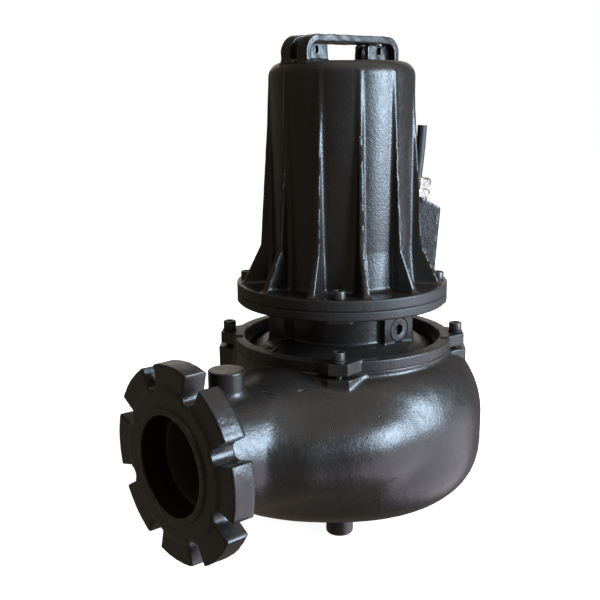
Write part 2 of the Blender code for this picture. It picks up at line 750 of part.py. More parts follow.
def volute_casing():
    """Scroll casing with lugs, ring, nozzle, boss and outlet flange: one hollow casting."""
    edge = 0.001
    body = scroll("volute_casing", 0.0, 0.0)
    ring = [(RING_RADIUS, RING_FOOT), (RING_RADIUS, RING_SEAM - edge), (RING_RADIUS - edge, RING_SEAM)]
    fuse(body, turned("ring", ring), swell("swell", 0.0), nozzle())
    boss = [(BOSS_RADIUS + 0.002, OUTLET_HEIGHT)]
    boss += [(BOSS_RADIUS, BOSS_TOP - edge), (BOSS_RADIUS - edge, BOSS_TOP)]
    fuse(body, turned("boss", boss, SMALL_STEPS, (OUTLET_X, BOSS_Y)))
    for azimuth in SCREW_AZIMUTHS:
        fuse(body, casing_lug(azimuth))
    fuse(body, outlet_flange())
    hollow = scroll("hollow", CASING_WALL, CASING_ROOF)
    fuse(hollow, swell("swell_hollow", CASING_WALL))
    passage_start = OUTLET_FACE + OUTLET_BORE_DEPTH - 0.001
    fuse(hollow, rod("passage", OUTLET_X, OUTLET_HEIGHT, OUTLET_INNER_BORE, passage_start, PASSAGE_END))
    cut(body, hollow)
    bore_end = OUTLET_FACE + OUTLET_BORE_DEPTH
    cut(body, rod("bore", OUTLET_X, OUTLET_HEIGHT, OUTLET_BORE, OUTLET_FACE - 0.03, bore_end))
    opening = COVER_SPIGOT_RADIUS + 0.0005
    above = RING_SEAM + 0.015
    cut(body, turned("opening", [(opening, COVER_UNDERSIDE - 0.016), (opening, above)]))
    mouth = [(SUCTION_RADIUS, CASING_BOTTOM - 0.02), (SUCTION_RADIUS, CASING_BOTTOM + 0.02)]
    cut(body, turned("mouth", mouth))
    seat = [(FOOT_RADIUS + SEAT, CASING_BOTTOM - 0.008), (FOOT_RADIUS + SEAT, FOOT_TOP + SEAT)]
    for azimuth in SCREW_AZIMUTHS:
        cut(body, upright_hole(azimuth, COVER_SCREW_CIRCLE, SCREW_HOLE_RADIUS, SCREW_HOLE_BOTTOM, above))
        cut(body, turned("seat", seat, SMALL_STEPS, around(azimuth, FOOT_CIRCLE)))
    return body


def foot(name):
    """Round stub foot, standing on height 0."""
    corner = (FOOT_RADIUS - FOOT_ROUNDING, FOOT_ROUNDING)
    rounding = arc(corner, (FOOT_ROUNDING, FOOT_ROUNDING), -90.0, 0.0, 3)
    return turned(name, rounding + [(FOOT_RADIUS, FOOT_TOP)], SMALL_STEPS)


def suction_ring():
    """Raised ring round the suction mouth under the casing."""
    top = CASING_BOTTOM - SEAT
    low = top - SUCTION_RING_HEIGHT
    profile = [
        (SUCTION_RADIUS, low),
        (SUCTION_RING_RADIUS - 0.002, low),
        (SUCTION_RING_RADIUS, low + 0.002),
        (SUCTION_RING_RADIUS, top),
        (SUCTION_RADIUS, top),
    ]
    return turned_ring("suction_ring", profile)


def pump_shaft():
    """Shaft end between the oil chamber and the impeller."""
    return turned("pump_shaft", [(SHAFT_RADIUS, SHAFT_BOTTOM), (SHAFT_RADIUS, SHAFT_TOP)], SMALL_STEPS)


def impeller():
    """Recessed impeller: disc with six vanes below it and a hub on the shaft."""
    bore = SHAFT_RADIUS + SEAT
    disc_top = COVER_UNDERSIDE - 0.004
    hub = 0.024
    profile = [
        (bore, SHAFT_BOTTOM),
        (hub, SHAFT_BOTTOM),
        (hub + 0.002, disc_top - 0.012),
        (IMPELLER_RADIUS, disc_top - 0.006),
        (IMPELLER_RADIUS, disc_top),
        (bore, disc_top),
    ]
    body = turned_ring("impeller", profile, ROUND_STEPS // 2)
    half = VANE_THICKNESS / 2
    near = hub - 0.0015
    far = IMPELLER_RADIUS - 0.002
    vane = [(-half, near), (half, near), (half, far), (-half, far)]
    for index in range(VANE_COUNT):
        outline = turned_outline(vane, 360.0 * index / VANE_COUNT)
        fuse(body, prism("vane", outline, SHAFT_BOTTOM + 0.004, disc_top - 0.004))
    return body


def impeller_bolt():
    """Hexagon bolt head and washer under the impeller's hub."""
    low = SHAFT_BOTTOM - SEAT
    washer = 0.019
    body = turned("impeller_bolt", [(washer, low - 0.003), (washer, low)], SMALL_STEPS)
    fuse(body, prism("head", hexagon(washer), low - 0.011, low - 0.001))
    return body


def on_gland(item):
    """Carry a shape made upright about the origin to the gland's leaning axis on the box."""
    x, y = around(BOX_AZIMUTH, GLAND_REACH)
    outwards = math.radians(BOX_AZIMUTH - 90.0)
    lean = Matrix.Rotation(math.radians(GLAND_LEAN), 4, "Y")
    item.data.transform(Matrix.Translation((x, y, GLAND_SEAT)) @ Matrix.Rotation(outwards, 4, "Z") @ lean)
    return item


def cable_box():
    """Cable entry casting on the side of the motor bell, down to its flange."""
    root = 0.078
    wide = BOX_HALF_WIDTH
    rings = []
    foot_level = (0.0, MOTOR_FLANGE_TOP - 0.002, BOX_REACH_BOTTOM)
    top_level = (BOX_TOP_SLOPE, BOX_TOP_OUTER, BOX_REACH_TOP)
    for slope, height, reach in (foot_level, top_level):
        outline = [
            (-wide, root),
            (-wide, reach - BOX_CHAMFER),
            (BOX_CHAMFER - wide, reach),
            (wide - BOX_CHAMFER, reach),
            (wide, reach - BOX_CHAMFER),
            (wide, root),
        ]
        heights = [height + slope * (reach - out) for _, out in outline]
        rings.append([(x, y, z) for (x, y), z in zip(turned_outline(outline, BOX_AZIMUTH), heights)])
    return loft("box", rings)


def gland_spot():
    """Cutter for the gland's stepped seat in the sloping top of the box."""
    step = GLAND_COLLAR_TOP - 0.0008
    wide = GLAND_FLATS / math.sqrt(3.0) + 0.0009
    profile = [(GLAND_SPOT_RADIUS, 0.0), (GLAND_SPOT_RADIUS, step), (wide, step), (wide, 0.045)]
    return on_gland(turned("spot", profile, SMALL_STEPS))


def gland_hexagon(name, low, high, coned_top):
    """Hexagonal part of the gland with its corners turned off, about the origin."""
    corner = GLAND_FLATS / math.sqrt(3.0)
    body = prism(name, hexagon(GLAND_FLATS, 13.0), low, high)
    rim = corner - 0.0012
    top = corner - 0.0055 if coned_top else rim
    cone = [(rim, low - 0.0001), (corner, low + 0.0012), (corner, high - 0.0022), (top, high + 0.0001)]
    combine(body, turned("cone", cone, SMALL_STEPS), "INTERSECT")
    return body


def gland_body():
    """Collar and hexagon of the cable gland, seated on the box."""
    body = gland_hexagon("gland_body", GLAND_COLLAR_TOP, GLAND_BODY_TOP, False)
    collar = [(GLAND_COLLAR_RADIUS, SEAT), (GLAND_COLLAR_RADIUS, GLAND_COLLAR_TOP + 0.001)]
    fuse(body, turned("collar", collar, SMALL_STEPS))
    neck = [(GLAND_NECK_RADIUS, GLAND_BODY_TOP - 0.001), (GLAND_NECK_RADIUS, GLAND_NUT_BOTTOM - SEAT)]
    fuse(body, turned("neck", neck, SMALL_STEPS))
    return on_gland(body)


def gland_nut():
    """Hexagon compression nut with a coned top and the bore that takes the cable."""
    body = gland_hexagon("gland_nut", GLAND_NUT_BOTTOM, GLAND_NUT_TOP, True)
    radius = CABLE_RADIUS + 0.0004
    bore = [(radius, GLAND_NUT_TOP - CABLE_SUNK), (radius, GLAND_NUT_TOP + 0.002)]
    cut(body, turned("bore", bore, SMALL_STEPS))
    return on_gland(body)


def power_cable():
    """Short end of the power cable, straightening as it rises from the gland nut."""
    lean = math.radians(GLAND_LEAN)
    start = GLAND_NUT_TOP - CABLE_SUNK + SEAT
    out = GLAND_REACH + start * math.sin(lean)
    height = GLAND_SEAT + start * math.cos(lean)
    curve = bpy.data.curves.new("power_cable", "CURVE")
    curve.dimensions = "3D"
    curve.bevel_depth = CABLE_RADIUS
    curve.bevel_resolution = 3
    curve.use_fill_caps = True
    spline = curve.splines.new("POLY")
    pieces = 4
    spline.points.add(pieces)
    for index in range(pieces + 1):
        share = index / pieces
        x, y = around(BOX_AZIMUTH, out)
        spline.points[index].co = (x, y, height, 1.0)
        slope = lean * (1.0 - CABLE_STRAIGHTENING * share)
        out += CABLE_LENGTH / pieces * math.sin(slope)
        height += CABLE_LENGTH / pieces * math.cos(slope)
    result = bpy.data.objects.new("power_cable", curve)
    bpy.context.scene.collection.objects.link(result)
    return result


def copies(first, names, places, height):
    """Put a shape and copies that share its mesh at a ring of places."""
    result = [first]
    for name in names[1:]:
        twin = bpy.data.objects.new(name, first.data)
        bpy.context.scene.collection.objects.link(twin)
        result.append(twin)
    for item, (x, y) in zip(result, places):
        item.location = (x, y, height)
    return result


def ring_of(builder, stem, circle, height):
    """Build a small piece once and stand four of it on a circle about the axis."""
    names = [f"{stem}_{index + 1}" for index in range(len(SCREW_AZIMUTHS))]
    places = [around(azimuth, circle) for azimuth in SCREW_AZIMUTHS]
    return copies(builder(names[0]), names, places, height)


def finish(item, look):
    """Give a piece its material and smooth its round faces."""
    item.data.materials.clear()
    item.data.materials.append(look)
    if item.type == "MESH":
        item.data.shade_smooth()
        item.data.set_sharp_from_angle(angle=math.radians(SHARP_ANGLE))


def main():
    """Build every piece and hang it on the pump's axis."""
    clear_scene()
    paint = material("black_paint", (0.020, 0.019, 0.020), 0.42, 0.0)
    steel = material("black_screw", (0.030, 0.030, 0.032), 0.38, 0.6)
    nickel = material("nickel", (0.72, 0.70, 0.66), 0.22, 1.0)
    rubber = material("cable_rubber", (0.018, 0.018, 0.019), 0.6, 0.0)
    iron = material("impeller_iron", (0.10, 0.095, 0.09), 0.5, 0.7)

    painted = [motor_housing()]
    painted += [handle_loop("lifting_handle_front", 1), handle_loop("lifting_handle_rear", -1)]
    painted += [oil_chamber(), back_cover(), volute_casing(), suction_ring()]
    painted += ring_of(foot, "foot", FOOT_CIRCLE, 0.0)
    motor_height = MOTOR_FLANGE_TOP + SEAT
    washer_height = LUG_TOP + SEAT
    cover_height = washer_height + WASHER_THICKNESS + SEAT
    screws = ring_of(motor_screw, "motor_screw", MOTOR_SCREW_CIRCLE, motor_height)
    screws += ring_of(cover_screw, "cover_screw", COVER_SCREW_CIRCLE, cover_height)
    screws += ring_of(spring_washer, "spring_washer", COVER_SCREW_CIRCLE, washer_height)
    screws += [oil_plug("oil_plug_right", "X"), oil_plug("oil_plug_rear", "Y")]
    groups = (
        (painted, paint),
        (screws, steel),
        ([gland_body(), gland_nut()], nickel),
        ([power_cable()], rubber),
        ([impeller(), impeller_bolt(), pump_shaft()], iron),
    )

    axis = bpy.data.objects.new("pump_axis", None)
    axis.location = (PUMP_AXIS_X, PUMP_AXIS_Y, 0.0)
    bpy.context.scene.collection.objects.link(axis)
    for pieces, look in groups:
        for item in pieces:
            finish(item, look)
            item.parent = axis


main()
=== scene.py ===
"""Looks of a submersible pump: black painted castings, screws, cable gland and a short cable.

Metres, +Z up. Shapes are worked out about the pump's own upright axis and then moved to its place.
Azimuth 0 is the outlet's direction (-Y) and azimuth 90 is +X.
"""

import logging
import math
from dataclasses import dataclass, field
from enum import Enum
from typing import Callable, Iterable, Sequence

import bpy
import numpy as np
from mathutils import Matrix, Vector


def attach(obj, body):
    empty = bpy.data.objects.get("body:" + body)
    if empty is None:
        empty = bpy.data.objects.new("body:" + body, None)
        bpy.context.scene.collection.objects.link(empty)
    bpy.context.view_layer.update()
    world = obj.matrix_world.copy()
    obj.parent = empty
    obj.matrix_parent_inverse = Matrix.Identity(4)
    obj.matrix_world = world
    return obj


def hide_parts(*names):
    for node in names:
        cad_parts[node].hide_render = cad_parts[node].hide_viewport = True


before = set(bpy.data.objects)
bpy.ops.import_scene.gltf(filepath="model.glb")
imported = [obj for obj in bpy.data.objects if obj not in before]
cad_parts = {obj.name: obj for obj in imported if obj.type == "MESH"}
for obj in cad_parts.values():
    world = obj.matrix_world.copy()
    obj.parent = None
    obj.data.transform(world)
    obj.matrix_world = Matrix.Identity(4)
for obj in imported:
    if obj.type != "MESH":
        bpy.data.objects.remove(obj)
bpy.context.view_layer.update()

LOG = logging.getLogger("pump")
Array = np.ndarray
Field = Callable[[Array], Array]
Point2 = tuple[float, float]
Point3 = tuple[float, float, float]
Colour = tuple[float, float, float]
Stops = Sequence[tuple[float, Colour]]
Rings = list[list[Point3]]
Socket = bpy.types.NodeSocket

AXIS = Vector((-0.0150, 0.0646, 0.0))
BODY = "root"
SCREW_AZIMUTH = 45.0
SCREW_STEP = 90.0
FULL_TURN = 360.0
NOISE_MIDDLE = (0.3, 0.7)
SOCKET_INSIDE = 0.53
DRILL_SHARE = 0.8


class Slot(Enum):
    """Material slots of the record."""

    PAINT = "black_paint"
    SCREW = "black_screw"
    NICKEL = "nickel"
    CABLE = "cable_rubber"


# Fields: distances that are negative inside a shape


def fillet_union(first: Array, second: Array, radius: float) -> Array:
    """Join two fields with a round fillet where they meet."""
    gap = np.hypot(np.maximum(radius - first, 0.0), np.maximum(radius - second, 0.0))
    return np.maximum(radius, np.minimum(first, second)) - gap


def round_overlap(first: Array, second: Array, radius: float) -> Array:
    """Keep what two fields share, with a rounded edge."""
    gap = np.hypot(np.maximum(radius + first, 0.0), np.maximum(radius + second, 0.0))
    return np.minimum(-radius, np.maximum(first, second)) + gap


def between(value: Array, low: float, high: float) -> Array:
    """Field of the slab between two parallel planes."""
    return np.maximum(low - value, value - high)


def held(value: Array) -> Array:
    """Hold a share between 0 and 1."""
    return np.clip(value, 0.0, 1.0)


def azimuth_of(x: Array, y: Array) -> Array:
    """Azimuth of each point in degrees, from -180 to 180."""
    return np.degrees(np.arctan2(x, -y))


def outline_distance(across: Array, up: Array, outline: Sequence[Point2]) -> Array:
    """Signed distance to a closed outline in a plane.

    Args:
        across: First coordinate of each point.
        up: Second coordinate of each point.
        outline: Corners of the outline in order.

    Returns:
        Distance to the outline, negative inside it.
    """
    least_length, least_rise = 1e-16, 1e-12
    nearest = np.full(across.shape, np.inf)
    inside = np.zeros(across.shape, dtype=bool)
    corners = list(outline)
    for (x0, y0), (x1, y1) in zip(corners, corners[1:] + corners[:1]):
        run, rise = x1 - x0, y1 - y0
        length = run * run + rise * rise
        if length < least_length:
            continue
        dx, dy = across - x0, up - y0
        share = held((dx * run + dy * rise) / length)
        nearest = np.minimum(nearest, (dx - run * share) ** 2 + (dy - rise * share) ** 2)
        if abs(rise) > least_rise:
            spans = (up >= min(y0, y1)) & (up < max(y0, y1))
            inside ^= spans & (dx < run * dy / rise)
    return np.where(inside, -1.0, 1.0) * np.sqrt(nearest)


def ellipse_distance(across: Array, up: Array, wide: Array | float, tall: Array | float) -> Array:
    """First-order distance to an ellipse about the origin.

    Args:
        across: First coordinate of each point.
        up: Second coordinate of each point.
        wide: Half axis along the first coordinate.
        tall: Half axis along the second coordinate.

    Returns:
        Distance to the ellipse, negative inside it.
    """
    least = 1e-6
    scale = np.hypot(across / wide, up / tall)
    slope = np.hypot(across / wide**2, up / tall**2)
    deep = -np.minimum(wide, tall) * np.ones_like(scale)
    return np.where(slope > least, scale * (scale - 1.0) / np.maximum(slope, least), deep)


def folded(x: Array, y: Array, first: float, step: float) -> tuple[Array, Array]:
    """Turn every point to the nearest of a ring of equal places.

    Args:
        x: First coordinate of each point.
        y: Second coordinate of each point.
        first: Azimuth of the first place in degrees.
        step: Angle between places in degrees.

    Returns:
        Sideways and outwards distances in the frame of the nearest place.
    """
    radius = np.hypot(x, y)
    turn = azimuth_of(x, y) - first
    turn = np.radians(turn - step * np.round(turn / step))
    return radius * np.sin(turn), radius * np.cos(turn)


def round_table(values: Sequence[float], place: Array) -> Array:
    """Read a table that closes on itself, with a smooth curve through its values.

    Args:
        values: Values at equal steps once round.
        place: Where to read, counted in steps.

    Returns:
        Value at each place.
    """
    table = np.array(values)
    index = np.floor(place).astype(int)
    share = place - index
    before, start, end, after = (table[(index + step) % len(table)] for step in (-1, 0, 1, 2))
    bend = 2.0 * before - 5.0 * start + 4.0 * end - after
    twist = 3.0 * (start - end) + after - before
    return start + 0.5 * share * (end - before + share * (bend + share * twist))


def ring_arc(centre: Point2, radii: Point2, start: float, end: float, steps: int) -> list[Point2]:
    """Points of an elliptic arc in a plane.

    Args:
        centre: Middle of the arc.
        radii: Half axes of the ellipse.
        start: First angle in degrees.
        end: Last angle in degrees.
        steps: Number of chords.

    Returns:
        The points, from start to end.
    """
    result = []
    for step in range(steps + 1):
        angle = math.radians(start + (end - start) * step / steps)
        result.append((centre[0] + radii[0] * math.cos(angle), centre[1] + radii[1] * math.sin(angle)))
    return result


class CastWobble:
    """Slow, shallow unevenness of a sand casting, as a sum of waves in fixed random directions."""

    LENGTH_SPREAD = (0.7, 1.6)

    def __init__(self, seed: int, wavelength: float, height: float, waves: int = 14) -> None:
        """Draw the waves.

        Args:
            seed: Seed of the random draws.
            wavelength: Usual length of a wave.
            height: Usual height of the unevenness.
            waves: Number of waves.
        """
        draw = np.random.default_rng(seed)
        direction = draw.normal(size=(waves, 3))
        direction /= np.linalg.norm(direction, axis=1)[:, None]
        length = wavelength * draw.uniform(*self.LENGTH_SPREAD, waves)
        self.wave = direction * (2.0 * math.pi / length)[:, None]
        self.phase = draw.uniform(0.0, 2.0 * math.pi, waves)
        self.height = height * math.sqrt(2.0 / waves)

    def __call__(self, points: Array) -> Array:
        """Height of the unevenness at some points.

        Args:
            points: Points about the pump's axis.

        Returns:
            One height for each point.
        """
        total = np.zeros(len(points))
        for wave, phase in zip(self.wave, self.phase):
            total += np.sin(points @ wave + phase)
        return total * self.height


# Meshing of a field


@dataclass
class Lattice:
    """Grid lines along the three axes on which a field is sampled."""

    xs: Array
    ys: Array
    zs: Array

    def axes(self) -> tuple[Array, Array, Array]:
        """The three sets of grid lines."""
        return self.xs, self.ys, self.zs

    def sample(self, shape: Field) -> Array:
        """Values of a field at every crossing of the grid lines.

        Args:
            shape: The field.

        Returns:
            Values, indexed by X, Y and Z line.
        """
        values = np.empty(tuple(len(axis) for axis in self.axes()))
        for index, x in enumerate(self.xs):
            sheet = np.stack(np.meshgrid([x], self.ys, self.zs, indexing="ij"), axis=-1).reshape(-1, 3)
            values[index] = shape(sheet).reshape(values.shape[1:])
        return values


def graded(edge: float, *stops: Point2) -> Array:
    """Grid lines over touching spans, each from the last one's end.

    Args:
        edge: Low end of the first span.
        stops: High end and wanted step of each span.

    Returns:
        All the grid lines in order.
    """
    parts = []
    for high, step in stops:
        count = max(1, round((high - edge) / step))
        parts.append(np.linspace(edge, high, count, endpoint=False))
        edge = high
    return np.append(np.concatenate(parts), edge)


def slope_of(shape: Field, points: Array) -> Array:
    """Unit direction in which a field grows fastest.

    Args:
        shape: The field.
        points: Points near its surface.

    Returns:
        One direction for each point.
    """
    reach = 2e-5
    corners = np.array([(1, -1, -1), (-1, -1, 1), (-1, 1, -1), (1, 1, 1)], dtype=float)
    total = np.zeros_like(points)
    for corner in corners:
        total += corner * shape(points + corner * reach)[:, None]
    return total / np.maximum(np.linalg.norm(total, axis=1), 1e-12)[:, None]


def crossing_points(shape: Field, start: Array, axis: int, reach: Array, near: Array, far: Array) -> Array:
    """Points where a surface crosses lattice edges, narrowed down three times.

    Args:
        shape: Field whose surface is sought.
        start: Low end of each edge.
        axis: Number of the axis along which the edges lie.
        reach: Length of each edge.
        near: Field at the low ends.
        far: Field at the high ends.

    Returns:
        One point on each edge.
    """
    outwards = near < 0.0
    low, high = np.zeros(len(start)), np.ones(len(start))
    share = near / (near - far)
    for _ in range(3):
        point = start.copy()
        point[:, axis] += reach * share
        middle = shape(point)
        same = (middle < 0.0) == outwards
        low, near = np.where(same, share, low), np.where(same, middle, near)
        high, far = np.where(same, high, share), np.where(same, far, middle)
        share = low + (high - low) * near / np.where(near == far, 1.0, near - far)
    point = start.copy()
    point[:, axis] += reach * share
    return point


def settled_points(index: Array, place: Array, slope: Array) -> Array:
    """Best point of each cell: where the planes through its edge crossings meet.

    Args:
        index: Cell of each crossing, counted from 0 without gaps.
        place: Point of each crossing.
        slope: Direction of the surface's normal at each crossing.

    Returns:
        One point for each cell.
    """
    total = int(index.max()) + 1
    hold = 0.02

    def gathered(weights: Array) -> Array:
        """Sum of weights over each cell's crossings."""
        return np.bincount(index, weights=weights, minlength=total)

    count = gathered(np.ones(len(index)))
    middle = np.stack([gathered(place[:, k]) for k in range(3)], axis=-1) / count[:, None]
    pull = np.einsum("ij,ij->i", slope, place - middle[index])
    matrix = np.empty((total, 3, 3))
    for row in range(3):
        for column in range(3):
            matrix[:, row, column] = gathered(slope[:, row] * slope[:, column])
    matrix += (hold * count)[:, None, None] * np.eye(3)
    right = np.stack([gathered(slope[:, k] * pull) for k in range(3)], axis=-1)
    return middle + np.linalg.solve(matrix, right[:, :, None])[:, :, 0]


def contour(shape: Field, grid: Lattice) -> tuple[Array, Array]:
    """Mesh the surface of a field with one point a cell, kept on edges and corners.

    Args:
        shape: Field that is negative inside the solid.
        grid: Lattice that covers the whole solid.

    Returns:
        Points, and faces of four point numbers that look outwards.
    """
    axes = grid.axes()
    cells = tuple(len(axis) - 1 for axis in axes)
    values = grid.sample(shape)
    inside = values < 0.0
    numbers, places, slopes, rows = [], [], [], []
    for axis in range(3):
        first, second = (axis + 1) % 3, (axis + 2) % 3
        low_part = [slice(None)] * 3
        high_part = [slice(None)] * 3
        low_part[axis] = slice(0, -1)
        high_part[axis] = slice(1, None)
        crossed = np.argwhere(inside[tuple(low_part)] != inside[tuple(high_part)])
        start = np.stack([axes[k][crossed[:, k]] for k in range(3)], axis=-1)
        after = crossed.copy()
        after[:, axis] += 1
        reach = axes[axis][after[:, axis]] - axes[axis][crossed[:, axis]]
        near = values[tuple(crossed.T)]
        point = crossing_points(shape, start, axis, reach, near, values[tuple(after.T)])
        slope = slope_of(shape, point)
        corners = []
        for back_first, back_second in ((1, 1), (0, 1), (0, 0), (1, 0)):
            cell = crossed.copy()
            cell[:, first] -= back_first
            cell[:, second] -= back_second
            corners.append(np.ravel_multi_index(tuple(cell.T), cells))
            numbers.append(corners[-1])
            places.append(point)
            slopes.append(slope)
        ring = np.stack(corners, axis=-1)
        rows.append(np.where((near < 0.0)[:, None], ring, ring[:, ::-1]))
    used, index = np.unique(np.concatenate(numbers), return_inverse=True)
    points = settled_points(index, np.concatenate(places), np.concatenate(slopes))
    cell = np.stack(np.unravel_index(used, cells), axis=-1)
    for k in range(3):
        points[:, k] = np.clip(points[:, k], axes[k][cell[:, k]], axes[k][cell[:, k] + 1])
    return points, np.searchsorted(used, np.concatenate(rows))


def linked_object(name: str, data: bpy.types.ID) -> bpy.types.Object:
    """Make an object and link it to the scene.

    Args:
        name: Its name.
        data: Its mesh, curve, camera or light.

    Returns:
        The new object.
    """
    item = bpy.data.objects.new(name, data)
    bpy.context.scene.collection.objects.link(item)
    return item


def mesh_object(name: str, points: Array, faces: Array, sharp: float) -> bpy.types.Object:
    """Make a smooth-shaded mesh object at the pump's place.

    Args:
        name: Name of the piece.
        points: Points about the pump's axis.
        faces: Faces that look outwards.
        sharp: Angle in degrees beyond which an edge stays sharp.

    Returns:
        The new object, linked to the scene.
    """
    mesh = bpy.data.meshes.new(name)
    mesh.from_pydata((points + np.array(AXIS)).tolist(), [], faces.tolist())
    mesh.shade_smooth()
    mesh.set_sharp_from_angle(angle=math.radians(sharp))
    return linked_object(name, mesh)


# Finishes


@dataclass(frozen=True)
class Cloud:
    """One noise: how fine it is, how many layers it has and how rough they are."""

    scale: float
    detail: float = 2.0
    rough: float = 0.5


@dataclass(frozen=True)
class Mark:
    """A place with its own finish: its middle, its half sizes and its turn."""

    middle: Point3
    size: Point3
    turn: Point3 = (0.0, 0.0, 0.0)


class NodeBench:
    """Short way to add and join the nodes of one material."""

    def __init__(self, name: str) -> None:
        """Start a material with its shader and the piece's own coordinates.

        Args:
            name: Name of the material.
        """
        self.material = bpy.data.materials.new(name)
        self.material.use_nodes = True
        self.tree = self.material.node_tree
        self.tree.nodes.clear()
        output = self.tree.nodes.new("ShaderNodeOutputMaterial")
        self.shader = self.tree.nodes.new("ShaderNodeBsdfPrincipled")
        self.link(self.shader.outputs["BSDF"], output.inputs["Surface"])
        self.place = self.tree.nodes.new("ShaderNodeTexCoord").outputs["Object"]

    def link(self, source: Socket, target: Socket) -> None:
        """Join two sockets."""
        self.tree.links.new(source, target)

    def add(self, kind: str, vector: Socket | None = None, **values: float | Point3) -> bpy.types.Node:
        """Add a node.

        Args:
            kind: Blender's name for the node.
            vector: Coordinates that it reads, if any.
            values: Constant values of its inputs, by name.

        Returns:
            The node.
        """
        node = self.tree.nodes.new(kind)
        for name, value in values.items():
            node.inputs[name].default_value = value
        if vector is not None:
            self.link(vector, node.inputs["Vector"])
        return node

    def noise(self, cloud: Cloud) -> Socket:
        """Noise in the piece's own coordinates, from 0 to 1."""
        values = {"Scale": cloud.scale, "Detail": cloud.detail, "Roughness": cloud.rough}
        return self.add("ShaderNodeTexNoise", self.place, **values).outputs["Fac"]

    def pits(self, scale: float, size: float) -> Socket:
        """Scattered round spots: 1 at their middles and 0 between them."""
        node = self.add("ShaderNodeTexVoronoi", self.place, Scale=scale)
        return self.mapped(node.outputs["Distance"], (0.0, size), (1.0, 0.0))

    def streaks(self, scale: float, stretch: float) -> Socket:
        """Noise drawn out upwards, as a turning tool leaves it on a rim."""
        drawn = self.add("ShaderNodeMapping", self.place, Scale=(1.0, 1.0, stretch))
        return self.add("ShaderNodeTexNoise", drawn.outputs["Vector"], Scale=scale).outputs["Fac"]

    def near(self, mark: Mark, full: float) -> Socket:
        """How far a place lies inside a mark.

        Args:
            mark: The mark.
            full: Share of its size up to which the value stays 1.

        Returns:
            Value that is 1 in the middle of the mark and 0 outside it.
        """
        node = self.add(
            "ShaderNodeMapping", self.place, Location=mark.middle, Rotation=mark.turn, Scale=mark.size
        )
        node.vector_type = "TEXTURE"
        length = self.tree.nodes.new("ShaderNodeVectorMath")
        length.operation = "LENGTH"
        self.link(node.outputs["Vector"], length.inputs[0])
        return self.mapped(length.outputs["Value"], (full, 1.0), (1.0, 0.0))

    def mapped(self, value: Socket, before: Point2, after: Point2) -> Socket:
        """Carry a value from one range to another, held at its ends.

        Args:
            value: The value.
            before: Ends of the range that it has.
            after: Ends of the range that it gets.

        Returns:
            The new value.
        """
        node = self.tree.nodes.new("ShaderNodeMapRange")
        node.clamp = True
        for socket, number in zip(node.inputs[1:5], (*before, *after)):
            socket.default_value = number
        self.link(value, node.inputs[0])
        return node.outputs[0]

    def product(self, first: Socket, second: Socket) -> Socket:
        """Multiply two values.

        Args:
            first: One value.
            second: The other.

        Returns:
            Their product.
        """
        node = self.tree.nodes.new("ShaderNodeMath")
        node.operation = "MULTIPLY"
        self.link(first, node.inputs[0])
        self.link(second, node.inputs[1])
        return node.outputs[0]

    def tone(self, value: Socket, stops: Stops) -> None:
        """Set the base colour from a colour ramp.

        Args:
            value: The value that the ramp reads.
            stops: Place and colour of each stop.
        """
        node = self.tree.nodes.new("ShaderNodeValToRGB")
        ramp = node.color_ramp
        while len(ramp.elements) < len(stops):
            ramp.elements.new(0.5)
        for element, (place, colour) in zip(ramp.elements, stops):
            element.position = place
            element.color = (*colour, 1.0)
        self.link(value, node.inputs[0])
        self.link(node.outputs["Color"], self.shader.inputs["Base Color"])

    def gloss(self, cloud: Cloud, ends: Point2) -> None:
        """Let the roughness vary between two values with a noise."""
        rough = self.mapped(self.noise(cloud), NOISE_MIDDLE, ends)
        self.link(rough, self.shader.inputs["Roughness"])

    def cover_colour(self, share: Socket, colour: Colour) -> None:
        """Lay a colour over the base colour.

        Args:
            share: How much of it shows at each place.
            colour: The colour.
        """
        target = self.shader.inputs["Base Color"]
        node = self.add("ShaderNodeMixRGB", Color2=(*colour, 1.0))
        self.link(share, node.inputs["Fac"])
        self.link(target.links[0].from_socket, node.inputs["Color1"])
        self.link(node.outputs["Color"], target)

    def cover_roughness(self, share: Socket, value: float) -> None:
        """Lay a roughness over the shader's own.

        Args:
            share: How much of it holds at each place.
            value: The roughness.
        """
        target = self.shader.inputs["Roughness"]
        node = self.tree.nodes.new("ShaderNodeMix")
        node.inputs[3].default_value = value
        self.link(share, node.inputs[0])
        self.link(target.links[0].from_socket, node.inputs[2])
        self.link(node.outputs[0], target)

    def bump(self, height: Socket, distance: float, strength: float) -> None:
        """Add a height to the shader's normal, over any bump it has.

        Args:
            height: The height, from 0 to 1.
            distance: What a height of 1 stands for, in metres.
            strength: Share of the bump that is used.
        """
        node = self.add("ShaderNodeBump", Strength=strength, Distance=distance)
        self.link(height, node.inputs["Height"])
        before = self.shader.inputs["Normal"].links
        if before:
            self.link(before[0].from_socket, node.inputs["Normal"])
        self.link(node.outputs["Normal"], self.shader.inputs["Normal"])

    def plain(self, **values: float) -> None:
        """Set constant values on the shader's own sockets, named with _ for each space."""
        for name, value in values.items():
            self.shader.inputs[name.replace("_", " ")].default_value = value


